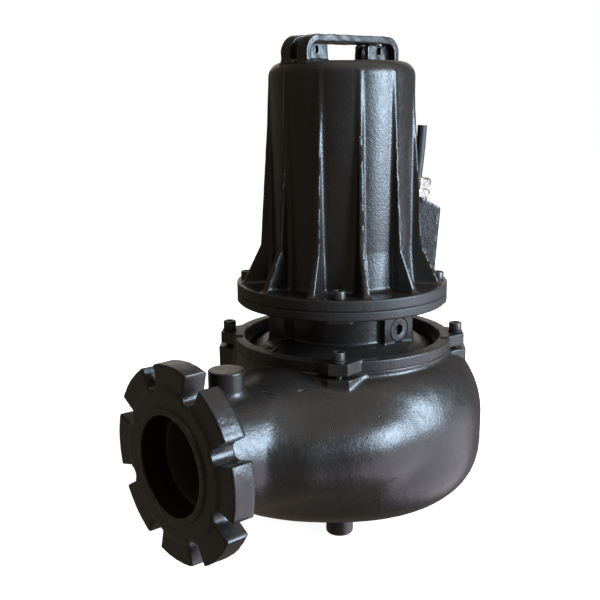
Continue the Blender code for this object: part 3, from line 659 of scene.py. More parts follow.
@dataclass(frozen=True)
class CastPaint:
    """Satin black paint over cast iron: fine grain, orange peel, a few specks and worn tones."""

    name: str
    dark: Colour = (0.0108, 0.0088, 0.0076)
    light: Colour = (0.0198, 0.0165, 0.0148)
    tone_places: Point2 = (0.30, 0.72)
    roughness: float = 0.335
    patches: Cloud = Cloud(22.0, 4.0, 0.62)
    sheen: Cloud = Cloud(160.0, 3.0, 0.6)
    orange_peel: Cloud = Cloud(330.0)
    fine_grain: Cloud = Cloud(900.0, 1.0)
    grain: float = 0.00012
    peel: float = 0.00044
    pit: float = 0.00020
    pit_scale: float = 95.0
    pit_size: float = 0.16
    streak: float = 0.0
    streak_scale: float = 620.0
    streak_stretch: float = 0.04
    sheen_spread: Point2 = (-0.06, 0.07)
    specular: float = 0.55
    peel_strength: float = 0.55
    grain_strength: float = 0.5
    pit_strength: float = 0.6

    def lay(self) -> NodeBench:
        """Lay the paint.

        Returns:
            Its bench, for marks that one piece alone has.
        """
        bench = NodeBench(self.name)
        stops = tuple(zip(self.tone_places, (self.dark, self.light)))
        bench.tone(bench.noise(self.patches), stops)
        smooth, rough = (self.roughness + change for change in self.sheen_spread)
        bench.gloss(self.sheen, (smooth, rough))
        bench.plain(Specular_IOR_Level=self.specular)
        bench.bump(bench.noise(self.orange_peel), self.peel, self.peel_strength)
        bench.bump(bench.noise(self.fine_grain), self.grain, self.grain_strength)
        if self.pit > 0.0:
            bench.bump(bench.pits(self.pit_scale, self.pit_size), self.pit, self.pit_strength)
        if self.streak > 0.0:
            streaks = bench.streaks(self.streak_scale, self.streak_stretch)
            bench.bump(streaks, self.streak, self.pit_strength)
        return bench

    def build(self) -> bpy.types.Material:
        """Build the material."""
        return self.lay().material


@dataclass(frozen=True)
class MarkedPaint(CastPaint):
    """Cast paint with the marks of one casting: nicks, rough patches, a dull rim, and painted light: a
    lighter colour inside the bore.
    """

    nicks: tuple[Mark, ...] = ()
    depth: float = 0.0008
    rough: tuple[Mark, ...] = ()
    lumps: Cloud = Cloud(420.0, 3.0, 0.65)
    lump_height: float = 0.0022
    dull: Mark | None = None
    dull_roughness: float = 0.56
    # Painted light: a lighter colour inside the outlet bore stands in for the light that reaches into it.
    painted_bore_light: Mark | None = None
    bore_light_colour: Colour = (0.075, 0.062, 0.052)
    nick_core: float = 0.35
    rough_core: float = 0.75
    dull_core: float = 0.98
    bore_light_core: float = 0.995
    mark_strength: float = 0.9

    def build(self) -> bpy.types.Material:
        """Build the material.

        Returns:
            The finished material.
        """
        bench = self.lay()
        for mark in self.nicks:
            bench.bump(bench.near(mark, self.nick_core), -self.depth, self.mark_strength)
        for mark in self.rough:
            lumps = bench.product(bench.noise(self.lumps), bench.near(mark, self.rough_core))
            bench.bump(lumps, self.lump_height, self.mark_strength)
        if self.dull is not None:
            bench.cover_roughness(bench.near(self.dull, self.dull_core), self.dull_roughness)
        # Painted light: lighten the colour inside the bore, where little light reaches.
        if self.painted_bore_light is not None:
            bench.cover_colour(bench.near(self.painted_bore_light, self.bore_light_core), self.bore_light_colour)
        return bench.material


@dataclass(frozen=True)
class FineFinish:
    """Cloudy tones and gloss with a fine grain, as steel, nickel, rubber and bare iron have."""

    name: str
    stops: Stops
    tones: Cloud
    sheen: Cloud
    roughness: Point2
    metallic: float = 0.0
    grain: Cloud | None = None
    height: float = 0.0
    strength: float = 0.5

    def build(self) -> bpy.types.Material:
        """Build the material.

        Returns:
            The finished material.
        """
        bench = NodeBench(self.name)
        bench.tone(bench.noise(self.tones), self.stops)
        bench.gloss(self.sheen, self.roughness)
        bench.plain(Metallic=self.metallic)
        if self.grain is not None:
            bench.bump(bench.noise(self.grain), self.height, self.strength)
        return bench.material


BLACK_STEEL = FineFinish(
    "dark_steel",
    ((0.35, (0.050, 0.048, 0.047)), (0.7, (0.085, 0.0816, 0.0799))),
    tones=Cloud(140.0, 3.0),
    sheen=Cloud(420.0),
    roughness=(0.30, 0.44),
    metallic=0.65,
    grain=Cloud(1400.0, 1.0),
    height=0.00003,
)
CLOUDY_NICKEL = FineFinish(
    "gland_nickel",
    ((0.3, (0.68, 0.63, 0.56)), (0.7, (0.80, 0.77, 0.72))),
    tones=Cloud(90.0),
    sheen=Cloud(300.0),
    roughness=(0.18, 0.25),
    metallic=1.0,
)
BLACK_RUBBER = FineFinish(
    "cable_sheath",
    ((0.35, (0.016, 0.016, 0.017)), (0.7, (0.030, 0.030, 0.032))),
    tones=Cloud(160.0, 3.0),
    sheen=Cloud(600.0),
    roughness=(0.48, 0.62),
    grain=Cloud(1500.0),
    height=0.00005,
)
BARE_IRON = FineFinish(
    "bare_iron",
    ((0.25, (0.055, 0.048, 0.043)), (0.55, (0.10, 0.095, 0.09)), (0.85, (0.15, 0.14, 0.135))),
    tones=Cloud(60.0, 5.0, 0.6),
    sheen=Cloud(300.0, 3.0),
    roughness=(0.42, 0.62),
    metallic=0.7,
    grain=Cloud(500.0, 3.0, 0.6),
    height=0.00015,
    strength=0.6,
)


def nick(x: float, y: float, z: float, size: float) -> Mark:
    """A small round nick in the paint."""
    return Mark((x, y, z), (size, size, size))


CASING_NICKS = (
    Mark((0.0620, -0.1134, 0.2039), (0.0135, 0.0010, 0.010), (0.0, 0.28, 0.80)),
    Mark((0.0580, -0.1200, 0.2052), (0.0050, 0.0013, 0.010), (0.0, 0.298, 0.606)),
    Mark((0.0733, -0.0801, 0.2024), (0.0062, 0.0010, 0.010), (0.0, -0.062, 1.241)),
    nick(0.1434, -0.0273, 0.1769, 0.0016),
    nick(0.1388, -0.0258, 0.1811, 0.0011),
    nick(0.1497, -0.0537, 0.1610, 0.0014),
    nick(0.1640, 0.0710, 0.1597, 0.0013),
    nick(0.1656, 0.0622, 0.1550, 0.0010),
    nick(0.1245, -0.0806, 0.1723, 0.0012),
)
BELL_NICKS = (
    Mark((0.0863, 0.0660, 0.3566), (0.0018, 0.0018, 0.0024)),
    Mark((0.0655, 0.0184, 0.4779), (0.0014, 0.0014, 0.0020)),
)
FLANGE_RIMS = Mark((0.0, 0.0, 0.2845), (90.0, 90.0, 0.0125))
BLOCK_LUMPS = (
    Mark((-0.0540, -0.0194, 0.2400), (0.0130, 0.0080, 0.0230)),
    Mark((-0.0350, -0.0264, 0.2240), (0.0190, 0.0120, 0.0070)),
)
# Where painted light is laid inside the outlet bore: a lighter colour that stands in for light.
BORE_PAINTED_LIGHT = Mark((0.0330, -0.1850, 0.1420), (0.0560, 0.1000, 0.0560))


class Palette:
    """The pump's materials, each built once."""

    def __init__(self) -> None:
        """Build every material."""
        self.paint = CastPaint("cast_paint").build()
        # The casing's paint carries painted light, a lighter colour inside its bore.
        self.casing = MarkedPaint("casing_paint", nicks=CASING_NICKS, painted_bore_light=BORE_PAINTED_LIGHT).build()
        self.chamber = MarkedPaint("chamber_paint", rough=BLOCK_LUMPS, dull=FLANGE_RIMS).build()
        self.bell = MarkedPaint("bell_paint", nicks=BELL_NICKS, dull=FLANGE_RIMS).build()
        self.turned = CastPaint(
            "turned_paint", roughness=0.42, peel=0.00012, grain=0.00006, pit=0.0, streak=0.00050
        ).build()
        self.screw = BLACK_STEEL.build()
        self.nickel = CLOUDY_NICKEL.build()
        self.cable = BLACK_RUBBER.build()
        self.iron = BARE_IRON.build()


def place_piece(piece: bpy.types.Object, slot: Slot, replaced: Iterable[str]) -> bpy.types.Object:
    """Hang a finished piece on the pump's body and let it stand for its CAD nodes.

    Args:
        piece: The piece.
        slot: Material slot of the record; not used.
        replaced: Names of the CAD nodes that it stands for.

    Returns:
        The piece.
    """
    names = tuple(replaced)
    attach(piece, BODY)
    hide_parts(*names)
    size = len(piece.data.polygons) if piece.type == "MESH" else 0
    LOG.info("%s: %d faces, stands for %s", piece.name, size, ", ".join(names))
    return piece


# Castings


@dataclass
class Casting:
    """A cast piece shaped by a field; each kind gives its own field and lattice."""

    name: str
    replaced: tuple[str, ...]
    paint: bpy.types.Material
    sharp: float = 50.0

    def shape(self, points: Array) -> Array:
        """Field of the piece about the pump's axis."""
        raise NotImplementedError

    def lattice(self) -> Lattice:
        """Lattice that covers the piece."""
        raise NotImplementedError

    def make(self) -> bpy.types.Object:
        """Mesh the field, dress it and hang it on the pump.

        Returns:
            The finished piece.
        """
        points, faces = contour(self.shape, self.lattice())
        piece = mesh_object(self.name, points, faces, self.sharp)
        piece.data.materials.append(self.paint)
        return place_piece(piece, Slot.PAINT, self.replaced)


@dataclass
class EntryBox:
    """Place of the cast box where the cable enters, and of the gland on its sloping top."""

    azimuth: float = 165.0
    reach: float = 0.1062
    seat: float = 0.3885
    lean: float = 8.0

    def outwards(self) -> Vector:
        """Level direction from the pump's axis to the box."""
        angle = math.radians(self.azimuth)
        return Vector((math.sin(angle), -math.cos(angle), 0.0))


@dataclass
class MotorHousing(Casting):
    """Motor bell: flange, flared wall, domed top, twelve tapering ribs and the cable entry box."""

    flange_radius: float = 0.132
    seam: float = 0.28435
    flange_top: float = 0.2974
    edge: float = 0.0008
    wall: float = 0.0886
    flare: float = 0.0047
    flare_top: float = 0.337
    dome_top: float = 0.563
    dome_corner: float = 0.018
    crown: Point2 = (0.0012, 0.0014)
    crown_radius: float = 0.030
    flare_end: Point2 = (0.0005, 0.006)
    bell_bottom: float = 0.09
    wobble_fade: float = 0.02
    rib_kink: float = 0.345
    rib_step: float = 30.0
    rib_top: float = 0.019
    rib_reach: Point2 = (0.1276, 0.1020)
    rib_crest: tuple[float, ...] = (0.0082, 0.0062, 0.0030, 0.0030)
    rib_root: tuple[float, ...] = (0.0180, 0.0115, 0.0046, 0.0046)
    rib_depth_from: float = 0.082
    rib_slopes: Point2 = (0.883, 0.997)
    rib_edge: float = 0.0016
    rib_end: float = 0.012
    rib_root_sunk: float = 0.004
    rib_top_sunk: Point2 = (0.0003, 0.004)
    rib_least_depth: float = 0.004
    jack_azimuth: float = 75.0
    jack_circle: float = 0.122
    jack_radius: float = 0.003
    jack_depth: float = 0.0075
    box: EntryBox = field(default_factory=EntryBox)
    box_half: float = 0.0245
    box_reach: Point2 = (0.1265, 0.134)
    box_chamfer: float = 0.004
    box_draft: float = -0.20
    box_top: float = 0.381
    box_slope: float = 0.55
    box_back: float = 0.07
    box_steepness: float = 0.97
    box_edge: float = 0.001
    box_top_edge: float = 0.0015
    spot_narrow: float = 0.0176
    spot_wide: float = 0.0203
    spot_step: float = 0.0072
    rib_fillet: float = 0.0042
    box_fillet: float = 0.003
    flange_fillet: float = 0.0055

    def __post_init__(self) -> None:
        """Draw the casting's unevenness and find the jacking hole."""
        self.wobble = CastWobble(seed=11, wavelength=0.050, height=0.00008)
        self.rib_wobble = CastWobble(seed=12, wavelength=0.030, height=0.00004)
        angle = math.radians(self.jack_azimuth)
        self.jack_x = self.jack_circle * math.sin(angle)
        self.jack_y = -self.jack_circle * math.cos(angle)

    def flange_outline(self) -> list[Point2]:
        """Radius and height of the flange's rim, from below.

        Returns:
            Corners of the outline, without those above the flange.
        """
        radius, top, edge = self.flange_radius, self.flange_top, self.edge
        low = [(0.0, self.seam), (radius - edge, self.seam), (radius, self.seam + edge)]
        return low + [(radius, top - edge), (radius - edge, top)]

    def bell_outline(self) -> list[Point2]:
        """Radius and height of the wall and the dome, from the flange to the middle of the top.

        Returns:
            Corners of the outline.
        """
        wall, flare_top = self.wall, self.flare_top
        wider, higher = self.flare_end
        foot = [(wall + self.flare, self.flange_top), (wall + wider, flare_top), (wall, flare_top + higher)]
        middle = (wall - self.dome_corner, self.dome_top - self.dome_corner)
        dome = ring_arc(middle, (self.dome_corner, self.dome_corner), 0.0, 90.0, 14)
        low, high = (self.dome_top + rise for rise in self.crown)
        return foot + dome + [(self.crown_radius, low), (0.0, high)]

    def rib_field(self, points: Array) -> Array:
        """Field of all twelve ribs: each stands on the wall and kinks outwards to the flange.

        Args:
            points: Points about the pump's axis.

        Returns:
            Distance to the nearest rib.
        """
        side, out = folded(points[:, 0], points[:, 1], 0.0, self.rib_step)
        height = points[:, 2]
        low = self.flange_top - self.rib_root_sunk
        heights = (low, self.rib_kink, self.dome_top - self.rib_top, self.dome_top)
        ends = (self.wall - sunk for sunk in self.rib_top_sunk)
        reach = np.interp(height, heights, (*self.rib_reach, *ends))
        crest = np.interp(height, heights, self.rib_crest) / 2
        root = np.interp(height, heights, self.rib_root) / 2
        lean = (root - crest) / np.maximum(reach - self.rib_depth_from, self.rib_least_depth)
        flank = (np.abs(side) - crest - lean * (reach - out)) / np.hypot(1.0, lean)
        nose = (out - reach) * np.where(height < self.rib_kink, *self.rib_slopes)
        rib = round_overlap(flank, nose, self.rib_edge)
        return np.maximum(rib, height - self.dome_top + self.rib_end) + self.rib_wobble(points)

    def box_field(self, points: Array) -> Array:
        """Field of the cable entry box with its sloping top.

        Args:
            points: Points about the pump's axis.

        Returns:
            Distance to the box.
        """
        side, out = folded(points[:, 0], points[:, 1], self.box.azimuth, FULL_TURN)
        height = points[:, 2]
        reach = np.interp(height, (self.flange_top, self.box_top), self.box_reach)
        wide = np.abs(side) - self.box_half - self.box_draft * np.maximum(reach - out, 0.0)
        wide = wide * self.box_steepness
        face = out - reach
        chamfer = (wide + face + self.box_chamfer) / math.sqrt(2.0)
        block = np.maximum(round_overlap(wide, face, self.box_edge), chamfer)
        top = (height - self.box_top - self.box_slope * (reach - out)) / math.hypot(1.0, self.box_slope)
        return np.maximum(round_overlap(block, top, self.box_top_edge), self.box_back - out)

    def gland_spot_field(self, points: Array) -> Array:
        """Field of the stepped hollow that is the gland's seat.

        Args:
            points: Points about the pump's axis.

        Returns:
            Distance to the hollow.
        """
        lean = math.radians(self.box.lean)
        outwards = self.box.outwards()
        axis = outwards * math.sin(lean) + Vector((0.0, 0.0, math.cos(lean)))
        seat = outwards * self.box.reach + Vector((0.0, 0.0, self.box.seat))
        local = points - np.array(seat)
        along = local @ np.array(axis)
        radius = np.sqrt(np.maximum((local**2).sum(axis=1) - along**2, 0.0))
        narrow = np.maximum(radius - self.spot_narrow, -along)
        wide = np.maximum(radius - self.spot_wide, self.spot_step - along)
        return np.minimum(narrow, wide)

    def shape(self, points: Array) -> Array:
        """Field of the whole housing.

        Args:
            points: Points about the pump's axis.

        Returns:
            Distance to the housing.
        """
        x, y, z = points.T
        radius = np.hypot(x, y)
        flange = outline_distance(radius, z, self.flange_outline() + [(0.0, self.flange_top)])
        under = [(0.0, self.seam), (self.bell_bottom, self.seam)]
        bell = outline_distance(radius, z, under + self.bell_outline())
        bell += self.wobble(points) * held((z - self.flange_top) / self.wobble_fade)
        ribbed = fillet_union(bell, self.rib_field(points), self.rib_fillet)
        boxed = fillet_union(ribbed, self.box_field(points), self.box_fillet)
        whole = np.maximum(fillet_union(boxed, flange, self.flange_fillet), self.seam - z)
        whole = np.maximum(whole, -self.gland_spot_field(points))
        hole = np.hypot(x - self.jack_x, y - self.jack_y) - self.jack_radius
        return np.maximum(whole, -np.maximum(hole, self.flange_top - self.jack_depth - z))

    def lattice(self) -> Lattice:
        """Lattice with fine levels at the flange and the dome.

        Returns:
            The lattice.
        """
        wide, step, fine = 0.0042, 0.0022, 0.0011
        left, right = self.jack_x - wide, self.jack_x + wide
        front, back = self.jack_y - wide, self.jack_y + wide
        low, top = self.seam, self.flange_top
        return Lattice(
            graded(-0.1345, (left, step), (right, fine), (0.1345, step)),
            graded(-0.1345, (front, step), (back, fine), (0.1405, step)),
            graded(
                low - 0.0004,
                (low + 0.0004, 0.0008), (low + 0.0012, 0.0008), (top - 0.0012, 0.003),
                (top - 0.0004, 0.0008), (top + 0.0004, 0.0008), (top + 0.0104, 0.0017),
                (0.333, 0.0036), (0.349, 0.002), (0.376, 0.0045), (0.404, 0.0022), (0.534, 0.0065),
                (0.5668, 0.0019),
            ),
        )


class LoopSide(Enum):
    """The side of the dome's middle on which a handle loop stands."""

    FRONT = 1
    REAR = -1


@dataclass
class LiftingLoop(Casting):
    """One flat loop of the lifting handle with a slotted web in each corner."""

    side: LoopSide = LoopSide.FRONT
    half_length: float = 0.0765
    top: float = 0.5930
    bar: float = 0.0085
    corner: float = 0.020
    near: float = 0.006
    far: float = 0.023
    web: float = 0.006
    web_start: float = 0.033
    web_top: float = 0.583
    slot_along: Point2 = (0.0484, 0.0556)
    slot_up: Point2 = (0.572, 0.5805)
    bar_edge: float = 0.0016
    dome_top: float = 0.563
    dome_wall: float = 0.0886
    dome_corner: float = 0.018
    crown: float = 0.0014
    crown_fall: Point2 = (0.0002, 0.03)
    skirt: float = 0.0034
    web_overlap: float = 0.003
    web_top_edge: float = 0.0025
    web_edge: float = 0.0014
    slot_corner: float = 0.0012
    slot_edge: float = 0.0008
    web_fillet: float = 0.002
    dome_fillet: float = 0.0035
    top_room: float = 0.0003
    sunk: float = 0.0006

    def __post_init__(self) -> None:
        """Draw the casting's unevenness."""
        self.wobble = CastWobble(seed=30 + self.side.value, wavelength=0.016, height=0.00022)

    def frame_distance(self, long: Array, high: Array, inset: float) -> Array:
        """Distance to the loop's round-cornered outline, moved inwards.

        Args:
            long: Distance from the dome's middle along the loop.
            high: Height.
            inset: How far the outline is moved inwards.

        Returns:
            Distance to the outline, negative inside it.
        """
        corner = self.corner - inset
        u = long - (self.half_length - inset - corner)
        v = high - (self.top - inset - corner)
        return np.minimum(np.maximum(u, v), 0.0) + np.hypot(np.maximum(u, 0.0), np.maximum(v, 0.0)) - corner

    def web_field(self, across: Array, long: Array, high: Array) -> Array:
        """Field of the slotted webs in the loop's corners.

        Args:
            across: Distance across the loop from the dome's middle.
            long: Distance along it.
            high: Height.

        Returns:
            Distance to the nearer web.
        """
        web = between(long, self.web_start, self.half_length - self.bar + self.web_overlap)
        web = round_overlap(web, high - self.web_top, self.web_top_edge)
        web = round_overlap(web, between(across, self.near, self.near + self.web), self.web_edge)
        slot = round_overlap(between(long, *self.slot_along), between(high, *self.slot_up), self.slot_corner)
        return round_overlap(web, -slot, self.slot_edge)

    def above_dome(self, points: Array) -> Array:
        """Height of each point above the dome that the loop stands on.

        Args:
            points: Points about the pump's axis.

        Returns:
            Height above the dome.
        """
        radius = np.hypot(points[:, 0], points[:, 1])
        fall, run = self.crown_fall
        crown = self.dome_top + self.crown - fall * (radius / run)
        turn = np.maximum(radius - (self.dome_wall - self.dome_corner), 0.0)
        drop = self.dome_corner - np.sqrt(np.maximum(self.dome_corner**2 - turn**2, 0.0))
        return points[:, 2] - (crown - drop)

    def shape(self, points: Array) -> Array:
        """Field of the loop, its webs and the skirt where it meets the dome.

        Args:
            points: Points about the pump's axis.

        Returns:
            Distance to the loop.
        """
        across, long, high = points[:, 0] * self.side.value, np.abs(points[:, 1]), points[:, 2]
        inner = self.frame_distance(long, high, self.bar)
        band = round_overlap(self.frame_distance(long, high, 0.0), -inner, self.bar_edge)
        loop = round_overlap(band, between(across, self.near, self.far), self.bar_edge)
        whole = fillet_union(loop, self.web_field(across, long, high), self.web_fillet)
        whole = whole + self.wobble(points)
        above = self.above_dome(points)
        skirt = np.maximum(fillet_union(whole, above, self.dome_fillet), whole - self.skirt)
        return np.maximum(np.maximum(skirt, high - self.top - self.top_room), -self.sunk - above)

    def lattice(self) -> Lattice:
        """Fine lattice round one loop.

        Returns:
            The lattice.
        """
        room, fine = 0.0045, 0.0014
        ends = sorted(self.side.value * edge for edge in (self.near - room, self.far + room))
        return Lattice(
            graded(ends[0], (ends[1], fine)),
            graded(-0.0825, (-0.030, fine), (0.030, 0.003), (0.0825, fine)),
            graded(0.548, (0.5945, 0.0013)),
        )


@dataclass
class OilChamber(Casting):
    """Lower flange disc with screw bosses, the narrow neck and its two side blocks."""

    radius: float = 0.132
    top: float = 0.28405
    edge: float = 0.0008
    flange_bottom: float = 0.2724
    bottom_chamfer: float = 0.0022
    neck: float = 0.076
    bottom: float = 0.2078
    foot_top: float = 0.226
    foot: tuple[Point2, ...] = (
        (0.1165, 0.2095), (0.1120, 0.2135), (0.1000, 0.2215), (0.0900, 0.2262), (0.0740, 0.2300),
    )
    boss_depth: float = 0.0025
    boss_plan: tuple[Point2, ...] = (
        (-0.0165, 0.100), (0.0165, 0.100), (0.0165, 0.1290),
        (0.0125, 0.1306), (-0.0125, 0.1306), (-0.0165, 0.1290),
    )
    block_plans: tuple[tuple[Point2, ...], ...] = (
        (
            (0.054, 0.0648), (0.0894, 0.0293), (0.0894, -0.0293),
            (0.054, -0.0648), (0.030, -0.050), (0.030, 0.050),
        ),
        (
            (-0.071, 0.0477), (-0.0905, 0.0283), (-0.0905, -0.0283),
            (-0.071, -0.0477), (-0.045, -0.035), (-0.045, 0.035),
        ),
    )
    plug_pad: float = 0.084
    plug_across: float = 0.0175
    plug_height: float = 0.2434
    plug_radius: float = 0.0158
    plug_depth: float = 0.0077
    chip_azimuth: float = -8.0
    chip_spread: float = 16.0
    chip_levels: Point2 = (0.002, 0.012)
    overlap: float = 0.002
    boss_root: float = 0.004
    boss_edge: float = 0.0006
    boss_fillet: float = 0.0012
    block_fillet: float = 0.004
    foot_fillet: float = 0.0025
    flange_fillet: float = 0.004

    def __post_init__(self) -> None:
        """Draw the casting's unevenness and its chipped edge."""
        self.wobble = CastWobble(seed=41, wavelength=0.035, height=0.00018)
        self.chips = CastWobble(seed=42, wavelength=0.008, height=0.00030)

    def flange(self, points: Array) -> Array:
        """Field of the flange disc and its four bosses.

        Args:
            points: Points about the pump's axis.

        Returns:
            Distance to the flange.
        """
        x, y, z = points.T
        low, top, radius = self.flange_bottom, self.top, self.radius
        chamfer, edge = self.bottom_chamfer, self.edge
        rim = [(radius - chamfer, low), (radius, low + chamfer), (radius, top - edge), (radius - edge, top)]
        disc = outline_distance(np.hypot(x, y), z, [(0.0, low)] + rim + [(0.0, top)])
        side, out = folded(x, y, SCREW_AZIMUTH, SCREW_STEP)
        plan = outline_distance(side, out, self.boss_plan)
        bosses = round_overlap(plan, between(z, low - self.boss_depth, low + self.boss_root), self.boss_edge)
        return fillet_union(disc, bosses, self.boss_fillet)

    def column(self, points: Array) -> Array:
        """Field of the neck with its two side blocks, which face two opposite screws.

        Args:
            points: Points about the pump's axis.

        Returns:
            Distance to the neck and its blocks.
        """
        x, y, z = points.T
        slab = between(z, self.bottom + self.overlap, self.flange_bottom + self.overlap)
        side, out = folded(x, y, SCREW_AZIMUTH, FULL_TURN)
        near, far = (outline_distance(side, out, plan) for plan in self.block_plans)
        block = np.maximum(np.minimum(near, far), slab)
        return fillet_union(np.maximum(np.hypot(x, y) - self.neck, slab), block, self.block_fillet)

    def shape(self, points: Array) -> Array:
        """Field of the whole chamber.

        Args:
            points: Points about the pump's axis.

        Returns:
            Distance to the chamber.
        """
        x, y, z = points.T
        foot_end = self.foot[-1][1]
        foot = [(0.0, self.bottom), (self.foot[0][0], self.bottom), *self.foot, (0.0, foot_end)]
        column = self.column(points) + self.wobble(points)
        base = outline_distance(np.hypot(x, y), z, foot) + self.wobble(points)
        ragged = held(1.0 - np.abs(azimuth_of(x, y) - self.chip_azimuth) / self.chip_spread)
        above, fade = self.chip_levels
        chip = ragged * held(1.0 - (z - self.foot_top - above) / fade)
        body = fillet_union(column, base, self.foot_fillet) + self.chips(points) * chip
        whole = fillet_union(body, self.flange(points), self.flange_fillet)
        whole = np.maximum(whole, self.bottom - z)
        for along, across in ((x, y), (y, x)):
            bar = np.hypot(across - self.plug_across, z - self.plug_height) - self.plug_radius
            whole = np.maximum(whole, -np.maximum(bar, self.plug_pad - self.plug_depth - along))
        return whole

    def lattice(self) -> Lattice:
        """Lattice with fine levels at the flange.

        Returns:
            The lattice.
        """
        low, top = self.flange_bottom, self.top
        level = graded(-0.1335, (0.1335, 0.0021))
        return Lattice(
            level,
            level,
            graded(
                self.bottom - 0.0005,
                (self.bottom + 0.0005, 0.001), (low - 0.0029, 0.0019), (low - 0.0021, 0.0008),
                (low - 0.0004, 0.0017), (low + 0.0004, 0.0008), (low + 0.0036, 0.0011),
                (top - 0.0012, 0.0025), (top - 0.0004, 0.0008), (top + 0.0004, 0.0008),
            ),
        )


@dataclass
class LugPlan:
    """Plan of a lug with a blunt three-sided nose."""

    reach: float
    inner: float
    shoulder: float = 0.133
    half: float = 0.027
    nose: float = 0.011

    def corners(self) -> list[Point2]:
        """Corners of the plan in order, as sideways and outwards."""
        nose = [(self.half, self.shoulder), (self.nose, self.reach), (-self.nose, self.reach)]
        return [(-self.half, self.inner), (self.half, self.inner)] + nose + [(-self.half, self.shoulder)]


@dataclass
class BackCover(Casting):
    """Cover on the casing: turned ring with four lugs, and a sunken floor round the neck."""

    low: float = 0.2156
    top: float = 0.2279
    edge: float = 0.0008
    lug_top: float = 0.2296
    lug_reach: float = 0.154
    radius: float = 0.1378
    opening: float = 0.124
    spigot: float = 0.1185
    shaft_hole: float = 0.016
    underside: float = 0.196
    floor_top: float = 0.2075
    floor_corner: tuple[Point2, ...] = ((0.0022, 0.0040), (0.0055, 0.0))
    lug_gap: float = 0.0003
    lug_edge: float = 0.0009
    lug_fillet: float = 0.0015
    wobble_share: float = 0.35

    def __post_init__(self) -> None:
        """Draw the casting's unevenness."""
        self.wobble = CastWobble(seed=51, wavelength=0.03, height=0.00016)

    def shape(self, points: Array) -> Array:
        """Field of the whole cover.

        Args:
            points: Points about the pump's axis.

        Returns:
            Distance to the cover.
        """
        x, y, z = points.T
        edge, top = self.edge, self.top
        outline = [
            (self.shaft_hole, self.underside), (self.spigot, self.underside),
            (self.spigot, self.low), (self.radius, self.low), (self.radius, top - edge),
            (self.radius - edge, top), (self.opening + edge, top), (self.opening, top - edge),
            *((self.opening - inwards, self.floor_top + rise) for inwards, rise in self.floor_corner),
            (self.shaft_hole, self.floor_top),
        ]
        body = outline_distance(np.hypot(x, y), z, outline)
        side, out = folded(x, y, SCREW_AZIMUTH, SCREW_STEP)
        plan = outline_distance(side, out, LugPlan(self.lug_reach, self.opening + self.lug_gap).corners())
        lug = round_overlap(plan, between(z, self.low, self.lug_top), self.lug_edge)
        whole = fillet_union(body, lug, self.lug_fillet) + self.wobble_share * self.wobble(points)
        return np.maximum(whole, self.underside - z)

    def lattice(self) -> Lattice:
        """Lattice with fine levels at the ring's faces.

        Returns:
            The lattice.
        """
        low, top = self.low, self.top
        level = graded(-0.1445, (0.1445, 0.0021))
        return Lattice(
            level,
            level,
            graded(
                self.underside - 0.0005,
                (self.underside + 0.0005, 0.001), (self.floor_top - 0.0008, 0.004),
                (self.floor_top + 0.0006, 0.0014), (low + 0.0005, 0.0011), (low + 0.0016, 0.0011),
                (top - 0.0012, 0.0018), (top - 0.0004, 0.0008), (top + 0.0004, 0.0008),
                (self.lug_top - 0.0007, 0.0006), (self.lug_top + 0.0005, 0.0006),
            ),
        )


